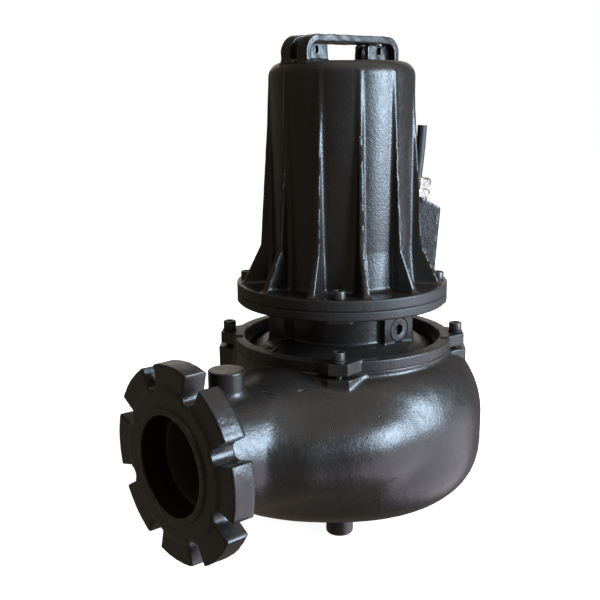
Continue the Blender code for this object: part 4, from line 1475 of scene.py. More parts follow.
@dataclass
class VoluteCasing(Casting):
    """Round scroll casing with lugs, machined ring, outlet nozzle, boss and toothed flange."""

    bottom: float = 0.028
    top: float = 0.211
    reach_mean: float = 0.1685
    reach_swing: float = 0.0185
    scroll_start: float = 30.0
    scroll_sweep: float = 300.0
    flare: float = 0.0255
    flare_start: float = 60.0
    tongue: float = 15.0
    wall: float = 0.010
    roof: float = 0.022
    shoulder_radius: float = 0.1225
    shoulder_base: float = 0.132
    belly_radius: float = 0.1165
    belly_top: float = 0.100
    ring_radius: float = 0.1378
    ring_top: float = 0.2153
    ring_base: float = 0.185
    lug_top: float = 0.2115
    lug_base: float = 0.140
    lug_fade: Point2 = (0.166, 0.70)
    lug_narrowing: float = 0.86
    lug: LugPlan = field(default_factory=lambda: LugPlan(0.157, 0.120, shoulder=0.134))
    outlet_x: float = 0.048
    outlet_z: float = 0.142
    passage_end: float = -0.06
    face: float = -0.2933
    rim: float = 0.110
    thick: float = 0.028
    bore: float = 0.0555
    inner_bore: float = 0.0505
    bore_depth: float = 0.028
    raised_radius: float = 0.0833
    raised: float = 0.0022
    lip_radius: float = 0.0637
    lip: float = 0.0044
    dent_depth: float = 0.0003
    slot_azimuth: float = 22.5
    slot_turn: float = 45.0
    slot_circle: float = 0.090
    slot_radius: float = 0.0095
    slot_flare: float = 0.146
    slot_steepness: float = 0.99
    slot_edge: float = 0.0020
    rim_edges: Point2 = (0.0018, 0.0045)
    raised_slope: Point2 = (0.9, 0.74)
    raised_root: float = 0.004
    raised_fillet: float = 0.0012
    lip_edge: float = 0.0011
    lip_fillet: float = 0.0009
    bore_edge: float = 0.0010
    nozzle_y: tuple[float, ...] = (-0.2793, -0.2620, -0.2350, -0.2050, -0.1700, -0.1300, -0.0900)
    nozzle_z: tuple[float, ...] = (0.1428, 0.1435, 0.1415, 0.1378, 0.1328, 0.1265, 0.1228)
    nozzle_wide: tuple[float, ...] = (0.0650, 0.0660, 0.0680, 0.0705, 0.0735, 0.0780, 0.0830)
    nozzle_tall: tuple[float, ...] = (0.0638, 0.0640, 0.0670, 0.0718, 0.0778, 0.0845, 0.0883)
    boss_y: float = -0.219
    boss_radius: float = 0.020
    boss_top: float = 0.233
    mouth: float = 0.052
    spigot_bore: float = 0.119
    spigot_floor: float = 0.180
    inset: float = 0.0003
    lug_skin: float = 0.6
    lug_edge: float = 0.0012
    boss_edge: float = 0.0012
    ring_chamfer: float = 0.0008
    overlap: float = 0.001
    mouth_top: float = 0.05
    nozzle_fillet: float = 0.016
    flange_fillet: float = 0.007
    boss_fillet: float = 0.0065
    lug_fillet: float = 0.0035
    ring_fillet: float = 0.003
    limits: tuple[float, float, float] = (-0.1534, 0.1833, 0.1684)
    swell_inner: float = 0.140
    swell_middle: float = 0.137
    swell_low_half: float = 0.046
    swell_gain: float = 0.020
    swell_upper_gain: float = 0.008
    swell_from: float = 0.150
    swell_blend: float = 0.016
    swell_blend_from: float = 0.186
    swell_ramp: float = 0.040
    swell_wall_share: float = 1.6
    swell_least_reach: float = 0.002
    swell_least_blend: float = 0.001
    swell_step: float = 15.0
    swell_reach: tuple[float, ...] = (
        0.1650, 0.2140, 0.2390, 0.2200, 0.2045, 0.1885, 0.1831, 0.1800,
        0.1744, 0.1719, 0.1692, 0.1664, 0.1635, 0.1606, 0.1578, 0.1551,
        0.1526, 0.1504, 0.1485, 0.1470, 0.1460, 0.1455, 0.1455, 0.1460,
    )

    def __post_init__(self) -> None:
        """Draw the casting's unevenness and the dents in its flange."""
        self.wobble = CastWobble(seed=61, wavelength=0.060, height=0.00013)
        self.fine = CastWobble(seed=62, wavelength=0.016, height=0.00005)
        self.dents = CastWobble(seed=63, wavelength=0.013, height=0.00010)

    def reach(self, x: Array, y: Array) -> Array:
        """How far the scroll reaches from the axis.

        Args:
            x: First coordinate of each point.
            y: Second coordinate of each point.

        Returns:
            Reach in the direction of each point.
        """
        turn = np.mod(azimuth_of(x, y) + self.tongue, FULL_TURN) - self.tongue
        run = math.pi * (turn - self.scroll_start) / self.scroll_sweep
        base = self.reach_mean + self.reach_swing * np.cos(run)
        widening = held((self.flare_start - turn) / (self.flare_start - self.tongue))
        spiral = base + self.flare * widening**2
        share = held((turn + self.tongue) / (2.0 * self.tongue))
        least = self.reach_mean - self.reach_swing
        most = self.reach_mean + self.reach_swing + self.flare
        tongue = least + (most - least) * (0.5 - 0.5 * np.cos(math.pi * share))
        return np.where(turn < self.tongue, tongue, spiral)

    def scroll(self, points: Array, wall: float, roof: float) -> Array:
        """Field of the scroll, or of the hollow in it.

        Args:
            points: Points about the pump's axis.
            wall: How far the sides and the bottom are taken in.
            roof: How far the top is taken in.

        Returns:
            Distance to the scroll.
        """
        x, y, z = points.T
        radius = np.hypot(x, y)
        reach = self.reach(x, y) - wall
        upper = ellipse_distance(
            np.maximum(radius - self.shoulder_radius, 0.0),
            np.maximum(z - self.shoulder_base, 0.0),
            reach - self.shoulder_radius,
            self.top - self.shoulder_base - roof,
        )
        lower = ellipse_distance(
            np.maximum(radius - self.belly_radius, 0.0),
            np.maximum(self.belly_top - z, 0.0),
            reach - self.belly_radius,
            self.belly_top - self.bottom - wall,
        )
        return np.maximum(upper, lower)

    def swell(self, points: Array, wall: float) -> tuple[Array, Array]:
        """Field of the swell of the casing's side, or of the hollow in it.

        Args:
            points: Points about the pump's axis.
            wall: How far it is taken in.

        Returns:
            Distance to the swell, and how widely it blends into the scroll.
        """
        x, y, z = points.T
        reach = round_table(self.swell_reach, np.mod(azimuth_of(x, y), FULL_TURN) / self.swell_step)
        inner = self.swell_inner - wall
        gain = np.where(z > self.swell_middle, self.swell_upper_gain, self.swell_gain)
        half = self.swell_low_half + gain * held((reach - self.swell_from) / self.swell_ramp)
        half = half - self.swell_wall_share * wall
        out = np.maximum(np.hypot(x, y) - inner, 0.0)
        wide = np.maximum(reach - wall - inner, self.swell_least_reach)
        belt = ellipse_distance(out, np.abs(z - self.swell_middle), wide, half)
        blend = self.swell_blend * held((reach - self.swell_blend_from) / self.swell_ramp)
        return belt, self.swell_least_blend + blend

    def nozzle(self, points: Array) -> Array:
        """Field of the outlet nozzle, which widens towards the casing.

        Args:
            points: Points about the pump's axis.

        Returns:
            Distance to the nozzle.
        """
        x, y, z = points.T
        rows = (self.nozzle_z, self.nozzle_wide, self.nozzle_tall)
        middle, wide, tall = (np.interp(y, self.nozzle_y, row) for row in rows)
        pipe = ellipse_distance(x - self.outlet_x, z - middle, wide, tall)
        return np.maximum(pipe, between(y, self.face + self.thick / 2, self.passage_end))

    def flange(self, points: Array) -> Array:
        """Field of the outlet flange with its eight slots, raised face and lip.

        Args:
            points: Points about the pump's axis.

        Returns:
            Distance to the flange.
        """
        y = points[:, 1]
        across, up = points[:, 0] - self.outlet_x, points[:, 2] - self.outlet_z
        radius = np.hypot(across, up)
        side, out = folded(across, up, self.slot_azimuth, self.slot_turn)
        past = out - self.slot_circle
        opening = self.slot_radius + np.maximum(past, 0.0) * self.slot_flare
        straight = (np.abs(side) - opening) * self.slot_steepness
        slot = np.where(past > 0.0, straight, np.hypot(side, past) - self.slot_radius)
        rim = radius - self.rim + np.maximum(self.dents(points) + self.dent_depth, 0.0)
        back = y - self.face - self.thick
        front_edge, back_edge = self.rim_edges
        disc = round_overlap(round_overlap(rim, self.face - y, front_edge), back, back_edge)
        slope, steepness = self.raised_slope
        cone = (radius - self.raised_radius - slope * (y - self.face + self.raised)) * steepness
        raised = np.maximum(cone, between(y, self.face - self.raised, self.face + self.raised_root))
        lip = round_overlap(radius - self.lip_radius, self.face - self.lip - y, self.lip_edge)
        whole = fillet_union(disc, raised, self.raised_fillet)
        whole = fillet_union(whole, np.maximum(lip, back), self.lip_fillet)
        return round_overlap(whole, -slot, self.slot_edge)

    def lugs(self, points: Array) -> Array:
        """Field of the four lugs that grow out of the shoulder.

        Args:
            points: Points about the pump's axis.

        Returns:
            Distance to the nearest lug.
        """
        side, out = folded(points[:, 0], points[:, 1], SCREW_AZIMUTH, SCREW_STEP)
        z = points[:, 2]
        level, steep = self.lug_fade
        plan = outline_distance(side * self.lug_narrowing, out, self.lug.corners())
        plan = plan + np.maximum(level - z, 0.0) * steep
        return round_overlap(plan, between(z, self.lug_base, self.lug_top), self.lug_edge)

    def outside(self, points: Array) -> Array:
        """Field of the casting without its hollows.

        Args:
            points: Points about the pump's axis.

        Returns:
            Distance to the filled casting.
        """
        x, y, z = points.T
        radius = np.hypot(x, y)
        skin = self.wobble(points) + self.fine(points) + self.inset
        body = fillet_union(self.scroll(points, 0.0, 0.0), *self.swell(points, 0.0))
        body = fillet_union(body, self.nozzle(points), self.nozzle_fillet) + skin
        boss = np.hypot(x - self.outlet_x, y - self.boss_y) - self.boss_radius
        boss = round_overlap(boss, between(z, self.outlet_z, self.boss_top), self.boss_edge)
        body = fillet_union(body, boss, self.boss_fillet)
        body = fillet_union(body, self.lugs(points) + self.lug_skin * skin, self.lug_fillet)
        ring = np.maximum(radius - self.ring_radius, between(z, self.ring_base, self.ring_top))
        chamfer = (radius - self.ring_radius + z - self.ring_top + self.ring_chamfer) / math.sqrt(2.0)
        body = fillet_union(body, np.maximum(ring, chamfer), self.ring_fillet)
        return fillet_union(body, self.flange(points), self.flange_fillet)

    def shape(self, points: Array) -> Array:
        """Field of the whole casting.

        Args:
            points: Points about the pump's axis.

        Returns:
            Distance to the casting.
        """
        x, y, z = points.T
        radius = np.hypot(x, y)
        disc = np.hypot(x - self.outlet_x, z - self.outlet_z)
        step = self.face + self.bore_depth
        passage = np.maximum(disc - self.inner_bore, between(y, step - self.overlap, self.passage_end))
        hollow = np.minimum(self.scroll(points, self.wall, self.roof), self.swell(points, self.wall)[0])
        hollow = np.minimum(hollow, passage)
        opening = np.maximum(radius - self.spigot_bore, self.spigot_floor - z)
        mouth = np.maximum(radius - self.mouth, between(z, 0.0, self.mouth_top))
        whole = round_overlap(self.outside(points), -np.maximum(disc - self.bore, y - step), self.bore_edge)
        for empty in (hollow, opening, mouth):
            whole = np.maximum(whole, -empty)
        low_x, high_x, high_y = self.limits
        whole = np.maximum(whole, np.maximum(between(x, low_x, high_x), y - high_y))
        return np.maximum(whole, self.bottom - z)

    def lattice(self) -> Lattice:
        """Lattice with fine levels at the flange's faces and under the ring.

        Returns:
            The lattice.
        """
        face, lug, ring = self.face, self.lug_top, self.ring_top
        return Lattice(
            graded(-0.1585, (0.190, 0.0031)),
            graded(
                face - 0.0050,
                (face - 0.0040, 0.001), (face - 0.0027, 0.0013), (face - 0.0017, 0.001),
                (face + 0.0030, 0.0012), (face + 0.0240, 0.003), (face + 0.0330, 0.0018),
                (0.1730, 0.0033),
            ),
            graded(
                self.bottom - 0.0006,
                (self.bottom + 0.0006, 0.0012), (0.150, 0.0036), (0.206, 0.0026),
                (lug - 0.0009, 0.0015), (lug + 0.0004, 0.0007), (ring - 0.0012, 0.0013),
                (ring + 0.0004, 0.0008), (0.2318, 0.0028), (0.2334, 0.0008), (0.2530, 0.0033),
            ),
        )


# Turned and hexagonal pieces


def ring_of(radius: float | Callable[[float], float], height: float, steps: int) -> list[Point3]:
    """Points of a level ring about the upright axis.

    Args:
        radius: Its radius, or a function that gives it for each angle in radians.
        height: Its height.
        steps: Number of points.

    Returns:
        The points in order.
    """
    result = []
    for step in range(steps):
        angle = 2.0 * math.pi * step / steps
        reach = radius(angle) if callable(radius) else radius
        result.append((reach * math.cos(angle), reach * math.sin(angle), height))
    return result


def turned(profile: Sequence[Point2], steps: int) -> Rings:
    """Rings of a solid of revolution, from the radius and height of each."""
    return [ring_of(radius, height, steps) for radius, height in profile]


def lofted(name: str, rings: Rings, place: Matrix, sharp: float = 32.0) -> bpy.types.Mesh:
    """Mesh of a closed solid through rings of equal point counts, capped at both ends.

    Args:
        name: Name of the mesh.
        rings: The rings in order.
        place: Matrix that carries it to its place.
        sharp: Angle in degrees beyond which an edge stays sharp.

    Returns:
        The mesh, smooth but for its sharp edges.
    """
    count = len(rings[0])
    last = (len(rings) - 1) * count
    faces = []
    for base in range(0, last, count):
        for step in range(count):
            after = (step + 1) % count
            faces.append((base + step, base + after, base + count + after, base + count + step))
    faces.append(tuple(reversed(range(count))))
    faces.append(tuple(range(last, last + count)))
    result = bpy.data.meshes.new(name)
    result.from_pydata([point for ring in rings for point in ring], [], faces)
    result.transform(place)
    result.validate()
    result.shade_smooth()
    result.set_sharp_from_angle(angle=math.radians(sharp))
    return result


def hex_radius(flats: float, angle: float, turn: float) -> float:
    """Distance from the middle of a hexagon to its rim in a direction."""
    sector = (angle - turn) % (math.pi / 3.0) - math.pi / 6.0
    return flats / 2.0 / math.cos(sector)


def socket_rings(inner: float, flats: float, top: float, depth: float, steps: int) -> Rings:
    """Rings that lead from a flat top down into a hexagon socket.

    Args:
        inner: Radius on the flat top where the rings start.
        flats: Width of the socket across its flats.
        top: Height of the flat top.
        depth: Depth of the socket.
        steps: Points round each ring.

    Returns:
        Rings from the top to the socket's pointed floor.
    """
    land, chamfer = 0.0004, 0.0002
    drill, floor = flats * SOCKET_INSIDE * DRILL_SHARE, 0.0002
    tip_radius, tip = 0.0003, 0.0012

    def hole(angle: float) -> float:
        """Radius of the socket's wall in a direction."""
        return hex_radius(flats, angle, 0.0)

    def rim(angle: float) -> float:
        """Radius on the flat top in a direction, always outside the socket."""
        return max(inner, hole(angle) + land)

    rows = (
        (rim, top), (hole, top - chamfer), (hole, top - depth), (drill, top - depth - floor),
        (tip_radius, top - depth - tip),
    )
    return [ring_of(radius, height, steps) for radius, height in rows]


def dressed(node: str, mesh: bpy.types.Mesh, material: bpy.types.Material, slot: Slot) -> bpy.types.Object:
    """Finish a mesh that stands for one CAD node."""
    mesh.materials.append(material)
    return place_piece(linked_object(node + "_dressed", mesh), slot, [node])


@dataclass
class RingArray:
    """Geometry Nodes tree that stands one small piece at equal places round the pump's axis."""

    name: str
    count: int = 4
    first: float = SCREW_AZIMUTH
    seed: int = 7

    def tree(self, material: bpy.types.Material) -> bpy.types.NodeTree:
        """Build the tree: a circle of points, the piece on each, made real and dressed.

        Args:
            material: Material of the pieces.

        Returns:
            The tree, with inputs for the piece, the circle's radius, its height and the count.
        """
        tree = bpy.data.node_groups.new(self.name, "GeometryNodeTree")
        inputs = {"Piece": "Geometry", "Circle Radius": "Float", "Height": "Float", "Count": "Int"}
        for label, kind in inputs.items():
            tree.interface.new_socket(label, in_out="INPUT", socket_type="NodeSocket" + kind)
        tree.interface.new_socket("Result", in_out="OUTPUT", socket_type="NodeSocketGeometry")
        add, join = tree.nodes.new, tree.links.new
        source, sink = add("NodeGroupInput"), add("NodeGroupOutput")
        circle = add("GeometryNodeMeshCircle")
        join(source.outputs["Count"], circle.inputs["Vertices"])
        join(source.outputs["Circle Radius"], circle.inputs["Radius"])
        spin = add("GeometryNodeTransform")
        spin.inputs["Rotation"].default_value = (0.0, 0.0, math.radians(self.first - 90.0))
        lift = add("ShaderNodeCombineXYZ")
        join(source.outputs["Height"], lift.inputs["Z"])
        join(lift.outputs["Vector"], spin.inputs["Translation"])
        join(circle.outputs["Mesh"], spin.inputs["Geometry"])
        turn = add("FunctionNodeRandomValue")
        turn.data_type = "FLOAT_VECTOR"
        turn.inputs["Max"].default_value = (0.0, 0.0, math.tau)
        turn.inputs["Seed"].default_value = self.seed
        stand = add("GeometryNodeInstanceOnPoints")
        join(spin.outputs["Geometry"], stand.inputs["Points"])
        join(source.outputs["Piece"], stand.inputs["Instance"])
        join(turn.outputs["Value"], stand.inputs["Rotation"])
        real = add("GeometryNodeRealizeInstances")
        join(stand.outputs["Instances"], real.inputs["Geometry"])
        dress = add("GeometryNodeSetMaterial")
        dress.inputs["Material"].default_value = material
        join(real.outputs["Geometry"], dress.inputs["Geometry"])
        join(dress.outputs["Geometry"], sink.inputs["Result"])
        return tree

    def stand(
        self, mesh: bpy.types.Mesh, material: bpy.types.Material, radius: float, height: float
    ) -> bpy.types.Object:
        """Stand the piece round the axis.

        Args:
            mesh: The piece, upright at the origin.
            material: Its material.
            radius: Radius of the circle that it stands on.
            height: Height of the circle.

        Returns:
            An object that holds all of it as one plain mesh.
        """
        item = linked_object(self.name, mesh)
        modifier = item.modifiers.new("ring", "NODES")
        modifier.node_group = self.tree(material)
        values = {"Circle Radius": radius, "Height": height, "Count": self.count}
        for socket in modifier.node_group.interface.items_tree:
            if socket.item_type == "SOCKET" and socket.in_out == "INPUT" and socket.name in values:
                modifier[socket.identifier] = values[socket.name]
        graph = bpy.context.evaluated_depsgraph_get()
        result = bpy.data.meshes.new_from_object(item.evaluated_get(graph))
        item.modifiers.clear()
        result.transform(Matrix.Translation(AXIS))
        item.data = result
        return item


@dataclass
class RingOfFour:
    """Four equal small pieces on a circle, under one name."""

    stem: str
    slot: Slot
    circle: float
    seat: float
    group: str

    def rings(self) -> Rings:
        """Rings of one piece, upright at the origin."""
        raise NotImplementedError

    def make(self, material: bpy.types.Material) -> bpy.types.Object:
        """Build the piece once and stand four of it.

        Args:
            material: Its material.

        Returns:
            The finished four.
        """
        array = RingArray(self.group)
        mesh = lofted(self.stem, self.rings(), Matrix.Identity(4))
        item = array.stand(mesh, material, self.circle, self.seat)
        return place_piece(item, self.slot, [f"{self.stem}_{index + 1}" for index in range(array.count)])


@dataclass
class SocketScrews(RingOfFour):
    """Four socket head screws, each with its shank."""

    shank: float = 0.02
    head_radius: float = 0.0080
    head_height: float = 0.0097
    radius: float = 0.0050
    flats: float = 0.0080
    depth: float = 0.0050
    socket_mouth: float = 0.62
    steps: int = 48

    def rings(self) -> Rings:
        """Rings of one screw, from its tip to its socket.

        Returns:
            The rings in order.
        """
        head, top = self.head_radius, self.head_height
        profile = [
            (self.radius - 0.0008, -self.shank), (self.radius, -self.shank + 0.0008),
            (self.radius, -0.0002), (head - 0.0005, 0.0), (head, 0.0005), (head, top - 0.0012),
            (head - 0.0003, top - 0.0005), (head - 0.0010, top),
        ]
        socket = socket_rings(self.flats * self.socket_mouth, self.flats, top, self.depth, self.steps)
        return turned(profile, self.steps) + socket


@dataclass
class SpringWashers(RingOfFour):
    """Four split spring washers under the cover screws."""

    inner: float = 0.0056
    outer: float = 0.0088
    thick: float = 0.0021
    corner: float = 0.0003
    gap: float = 9.0
    steps: int = 40

    def rings(self) -> Rings:
        """Sections of one washer along its nearly closed turn.

        Returns:
            The sections in order.
        """
        inner, outer, thick, corner = self.inner, self.outer, self.thick, self.corner
        section = [
            (inner + corner, 0.0), (outer - corner, 0.0), (outer, corner), (outer, thick - corner),
            (outer - corner, thick), (inner + corner, thick), (inner, thick - corner),
            (inner, corner),
        ]
        rings = []
        for step in range(self.steps + 1):
            angle = math.radians(self.gap / 2 + (FULL_TURN - self.gap) * step / self.steps)
            along, across = math.cos(angle), math.sin(angle)
            rings.append([(radius * along, radius * across, height) for radius, height in reversed(section)])
        return rings


@dataclass
class Feet(RingOfFour):
    """Four round stub feet under the casing."""

    radius: float = 0.0165
    top: float = 0.0280
    rounding: float = 0.004
    steps: int = 72

    def rings(self) -> Rings:
        """Rings of one foot, from below.

        Returns:
            The rings in order.
        """
        corner = (self.radius - self.rounding, self.rounding)
        profile = ring_arc(corner, (self.rounding, self.rounding), -90.0, 0.0, 8)
        return turned(profile + [(self.radius, self.top)], self.steps)


class PlugSide(Enum):
    """The pads that carry an oil plug, by the name of the plug's node."""

    RIGHT = "oil_plug_right"
    REAR = "oil_plug_rear"


@dataclass
class OilPlug:
    """Hexagon socket plug with a raised rim, in the recess of a pad."""

    side: PlugSide
    face: float = 0.0840
    across: float = 0.0175
    height: float = 0.2434
    radius: float = 0.0146
    flats: float = 0.012
    depth: float = 0.0068
    sunk: float = 0.0002
    socket_mouth: float = 0.60
    steps: int = 72

    def place(self) -> Matrix:
        """Matrix that carries an upright plug into its pad.

        Returns:
            The matrix, which lays the right plug along X and the rear one along Y.
        """
        if self.side is PlugSide.REAR:
            turn = Matrix.Rotation(math.radians(-90.0), 4, "X")
            return Matrix.Translation((self.across, self.face, self.height)) @ turn
        turn = Matrix.Rotation(math.radians(90.0), 4, "Y")
        return Matrix.Translation((self.face, self.across, self.height)) @ turn

    def make(self, material: bpy.types.Material) -> bpy.types.Object:
        """Build the plug.

        Args:
            material: Its material.

        Returns:
            The finished plug.
        """
        radius = self.radius
        profile = [
            (radius - 0.0004, -0.0075), (radius, -0.0070), (radius, -0.0006),
            (radius - 0.0006, 0.0), (radius - 0.0050, 0.0001), (radius - 0.0060, -self.sunk),
        ]
        rings = turned(profile, self.steps)
        mouth = self.flats * self.socket_mouth
        rings += socket_rings(mouth, self.flats, -self.sunk, self.depth, self.steps)
        mesh = lofted(self.side.value, rings, Matrix.Translation(AXIS) @ self.place())
        return dressed(self.side.value, mesh, material, Slot.SCREW)


@dataclass
class CableGland:
    """Nickel gland on the entry box: collar, hexagon body, neck and coned compression nut."""

    box: EntryBox
    flats: float = 0.0335
    turn: float = 13.0
    steps: int = 96
    sharp: float = 24.0
    collar: tuple[Point2, ...] = ((0.0155, 0.0004), (0.0163, 0.0012), (0.0163, 0.0066), (0.0155, 0.0076))
    neck: tuple[Point2, ...] = ((0.0145, 0.0181), (0.0140, 0.0187))
    bore: tuple[Point2, ...] = (
        (0.0085, 0.0335), (0.0070, 0.0330), (0.0064, 0.0320), (0.0064, 0.0256), (0.0010, 0.0255),
    )
    body_hexagon: tuple[Point3, ...] = (
        (0.0079, 0.0022, 0.001), (0.0085, 0.0011, 0.0), (0.0100, 0.0, 0.0), (0.0162, 0.0, 0.0),
        (0.0174, 0.0011, 0.0), (0.0180, 0.0026, 0.001),
    )
    nut_hexagon: tuple[Point3, ...] = (
        (0.0190, 0.0026, 0.001), (0.0196, 0.0011, 0.0), (0.0208, 0.0, 0.0), (0.0290, 0.0, 0.0),
        (0.0306, 0.0012, 0.0), (0.0324, 0.0035, 0.0020), (0.0333, 0.0060, 0.0060),
    )

    def place(self) -> Matrix:
        """Matrix that carries an upright piece to the gland's leaning axis.

        Returns:
            The matrix.
        """
        spot = self.box.outwards() * self.box.reach + Vector((0.0, 0.0, self.box.seat))
        outwards = Matrix.Rotation(math.radians(self.box.azimuth - 90.0), 4, "Z")
        lean = Matrix.Rotation(math.radians(self.box.lean), 4, "Y")
        return Matrix.Translation(spot + AXIS) @ outwards @ lean

    def hexagon(self, rows: Sequence[Point3]) -> Rings:
        """Rings of a hexagon whose corners are turned off.

        Args:
            rows: Height of each ring, and how much its corners and its flats are taken in.

        Returns:
            One ring of points for each row.
        """
        corner, turn = self.flats / math.sqrt(3.0), math.radians(self.turn)
        rings = []
        for height, corner_cut, flats_cut in rows:
            limit, flats = corner - corner_cut, self.flats - flats_cut
            ring = ring_of(lambda angle: min(limit, hex_radius(flats, angle, turn)), height, self.steps)
            rings.append(ring)
        return rings

    def make(self, material: bpy.types.Material) -> None:
        """Build the body and the nut.

        Args:
            material: Their material.
        """
        collar, neck = turned(self.collar, self.steps), turned(self.neck, self.steps)
        body = collar + self.hexagon(self.body_hexagon) + neck
        nut = self.hexagon(self.nut_hexagon) + turned(self.bore, self.steps)
        for node, rings in (("gland_body", body), ("gland_nut", nut)):
            dressed(node, lofted(node, rings, self.place(), self.sharp), material, Slot.NICKEL)


@dataclass
class PowerCable:
    """The short piece of cable that rises from the gland nut and ends cut square."""

    box: EntryBox
    radius: float = 0.006
    start: float = 0.0258
    length: float = 0.0722
    straightening: float = 0.70
    straight_part: float = 0.125
    pieces: int = 20

    def route(self) -> list[Vector]:
        """Points along the middle of the cable.

        Returns:
            The points, from inside the nut to the cable's cut end.
        """
        lean = math.radians(self.box.lean)
        out = self.box.reach + self.start * math.sin(lean)
        height = self.box.seat + self.start * math.cos(lean)
        outwards = self.box.outwards()
        step = self.length / self.pieces
        points = [AXIS + outwards * out + Vector((0.0, 0.0, height))]
        for index in range(self.pieces):
            done = max(0.0, (index + 0.5) / self.pieces - self.straight_part)
            slope = lean * (1.0 - self.straightening * done)
            out += step * math.sin(slope)
            height += step * math.cos(slope)
            points.append(AXIS + outwards * out + Vector((0.0, 0.0, height)))
        return points

    def make(self, material: bpy.types.Material) -> bpy.types.Object:
        """Build the cable as one open curve.

        Args:
            material: Its material.

        Returns:
            The finished cable.
        """
        curve = bpy.data.curves.new("cable_run", "CURVE")
        curve.dimensions = "3D"
        curve.bevel_depth = self.radius
        curve.bevel_resolution = 10
        curve.use_fill_caps = True
        route = self.route()
        spline = curve.splines.new("POLY")
        spline.points.add(len(route) - 1)
        for point, place in zip(spline.points, route):
            point.co = (*place, 1.0)
        spline.use_smooth = True
        item = linked_object("cable_run", curve)
        curve.materials.append(material)
        place_piece(item, Slot.CABLE, ["power_cable"])
        tuple(route[0])
        return item


# Studio


@dataclass(frozen=True)
class SoftLight:
    """One soft area light that faces the pump.

    azimuth is its direction from the pump, elevation its angle above the floor, away its distance,
    size its width and height, and power is in watts.
    """

    name: str
    azimuth: float
    elevation: float
    away: float
    size: Point2
    power: float
    colour: Colour

    def hang(self, aim: Point3) -> None:
        """Hang the light.

        Args:
            aim: The place that it faces.
        """
        data = bpy.data.lights.new(self.name, "AREA")
        data.shape = "RECTANGLE"
        data.size, data.size_y = self.size
        data.energy = self.power
        data.color = self.colour
        item = linked_object(self.name, data)
        turn, rise = math.radians(self.azimuth), math.radians(self.elevation)
        way = Vector((math.sin(turn) * math.cos(rise), -math.cos(turn) * math.cos(rise), math.sin(rise)))
        item.location = way * self.away + Vector(aim)
        item.rotation_euler = way.to_track_quat("Z", "Y").to_euler()


LIGHTS = (
    SoftLight("window", 115.0, 17.5, 2.0, (0.95, 1.30), 106.0, (0.63, 0.81, 1.0)),
    SoftLight("ceiling", 130.0, 72.0, 2.3, (2.6, 2.6), 13.0, (1.0, 0.89, 0.78)),
    SoftLight("desk", 132.0, -31.0, 2.0, (2.6, 1.9), 31.0, (0.88, 0.84, 1.0)),
    SoftLight("back_wall", -133.0, 16.0, 2.6, (2.4, 1.5), 7.5, (1.0, 0.92, 0.82)),
)


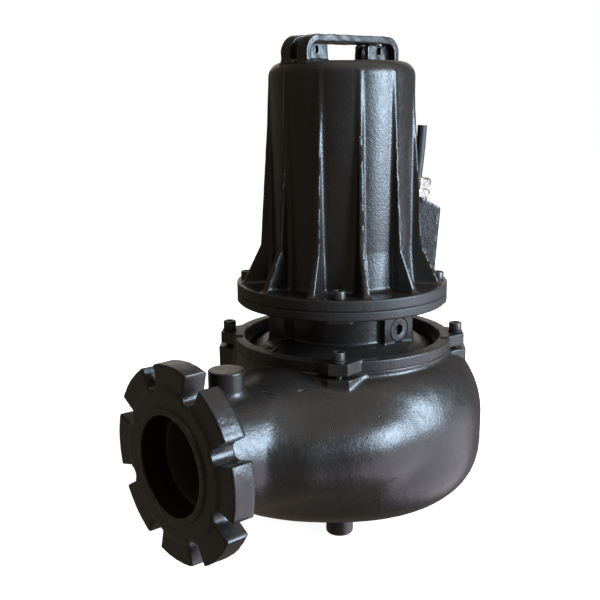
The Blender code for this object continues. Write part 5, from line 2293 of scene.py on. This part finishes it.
@dataclass
class Studio:
    """Camera at the photograph's angle, pale floor and soft lights."""

    camera_place: Point3 = (0.8200, -0.7278, 0.5252)
    camera_right: Point3 = (0.65591, 0.754776, -0.009763)
    camera_up: Point3 = (-0.157165, 0.149207, 0.976236)
    camera_back: Point3 = (0.738296, -0.638788, 0.216491)
    focal: float = 55.56
    sensor: float = 36.0
    clip: Point2 = (0.01, 50.0)
    aim: Point3 = (0.0, 0.0, 0.28)
    floor_size: float = 12.0
    floor_glow: float = 0.93
    floor_cloud: Cloud = Cloud(1.5)
    floor_tones: tuple[tuple[float, Colour], ...] = ((0.3, (0.86, 0.86, 0.86)), (0.7, (0.90, 0.90, 0.90)))
    room: Colour = (1.0, 0.84, 0.68)
    room_strength: float = 0.17

    def camera(self) -> None:
        """Set up the camera."""
        data = bpy.data.cameras.new("camera")
        data.lens = self.focal
        data.sensor_width = self.sensor
        data.clip_start, data.clip_end = self.clip
        item = linked_object("camera", data)
        columns = Matrix((self.camera_right, self.camera_up, self.camera_back)).transposed()
        item.matrix_world = Matrix.Translation(self.camera_place) @ columns.to_4x4()
        bpy.context.scene.camera = item

    def floor(self) -> None:
        """Lay the pale floor."""
        half = self.floor_size / 2.0
        mesh = bpy.data.meshes.new("floor")
        corners = [(-half, -half, 0.0), (half, -half, 0.0), (half, half, 0.0), (-half, half, 0.0)]
        mesh.from_pydata(corners, [], [(0, 1, 2, 3)])
        bench = NodeBench("pale_floor")
        bench.tone(bench.noise(self.floor_cloud), self.floor_tones)
        bench.plain(Roughness=0.9, Specular_IOR_Level=0.1, Emission_Strength=self.floor_glow)
        bench.shader.inputs["Emission Color"].default_value = (1.0, 1.0, 1.0, 1.0)
        mesh.materials.append(bench.material)
        item = linked_object("floor", mesh)
        item.visible_diffuse = False
        item.visible_glossy = False
        item.visible_shadow = False

    def world(self) -> None:
        """White surroundings to the camera, and a dimmer, warmer room to the pump's gloss."""
        world = bpy.data.worlds.new("studio")
        bpy.context.scene.world = world
        world.use_nodes = True
        tree = world.node_tree
        tree.nodes.clear()
        add, join = tree.nodes.new, tree.links.new
        output, mix = add("ShaderNodeOutputWorld"), add("ShaderNodeMixShader")
        path = add("ShaderNodeLightPath")
        room, white = add("ShaderNodeBackground"), add("ShaderNodeBackground")
        room.inputs["Color"].default_value = (*self.room, 1.0)
        room.inputs["Strength"].default_value = self.room_strength
        white.inputs["Color"].default_value = (1.0, 1.0, 1.0, 1.0)
        join(path.outputs["Is Camera Ray"], mix.inputs["Fac"])
        join(room.outputs["Background"], mix.inputs[1])
        join(white.outputs["Background"], mix.inputs[2])
        join(mix.outputs["Shader"], output.inputs["Surface"])

    def build(self) -> None:
        """Set up everything but the camera and the pump."""
        bpy.context.scene.view_settings.view_transform = "Standard"
        self.floor()
        self.world()
        for light in LIGHTS:
            light.hang(self.aim)


def dress_left_nodes(palette: Palette) -> None:
    """Give the CAD nodes that stay their detailed materials.

    Args:
        palette: The pump's materials.
    """
    looks = {
        "suction_ring": palette.turned,
        "impeller": palette.iron,
        "impeller_bolt": palette.screw,
        "pump_shaft": palette.iron,
    }
    for name, look in looks.items():
        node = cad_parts[name]
        node.data.materials.clear()
        node.data.materials.append(look)
        LOG.info("%s keeps its CAD shape", name)


def main() -> None:
    """Build the studio, the cable and every piece of the pump."""
    logging.basicConfig(level=logging.INFO, format="%(name)s: %(message)s")
    studio = Studio()
    studio.camera()
    palette = Palette()
    box = EntryBox()
    PowerCable(box).make(palette.cable)
    studio.build()
    MotorHousing("housing", ("motor_housing",), palette.bell, box=box).make()
    LiftingLoop("loop_front", ("lifting_handle_front",), palette.paint, side=LoopSide.FRONT).make()
    LiftingLoop("loop_rear", ("lifting_handle_rear",), palette.paint, side=LoopSide.REAR).make()
    OilChamber("chamber", ("oil_chamber",), palette.chamber).make()
    BackCover("cover", ("back_cover",), palette.turned).make()
    VoluteCasing("casing", ("volute_casing",), palette.casing).make()
    SocketScrews("motor_screw", Slot.SCREW, 0.120, 0.2977, "motor_screws", shank=0.0205).make(palette.screw)
    SocketScrews("cover_screw", Slot.SCREW, 0.1441, 0.2323, "cover_screws", shank=0.039).make(palette.screw)
    SpringWashers("spring_washer", Slot.SCREW, 0.1441, 0.2299, "spring_washers").make(palette.screw)
    for side in PlugSide:
        OilPlug(side).make(palette.screw)
    CableGland(box).make(palette.nickel)
    Feet("foot", Slot.PAINT, 0.098, 0.0, "feet").make(palette.paint)
    dress_left_nodes(palette)


if __name__ == "__main__":
    main()
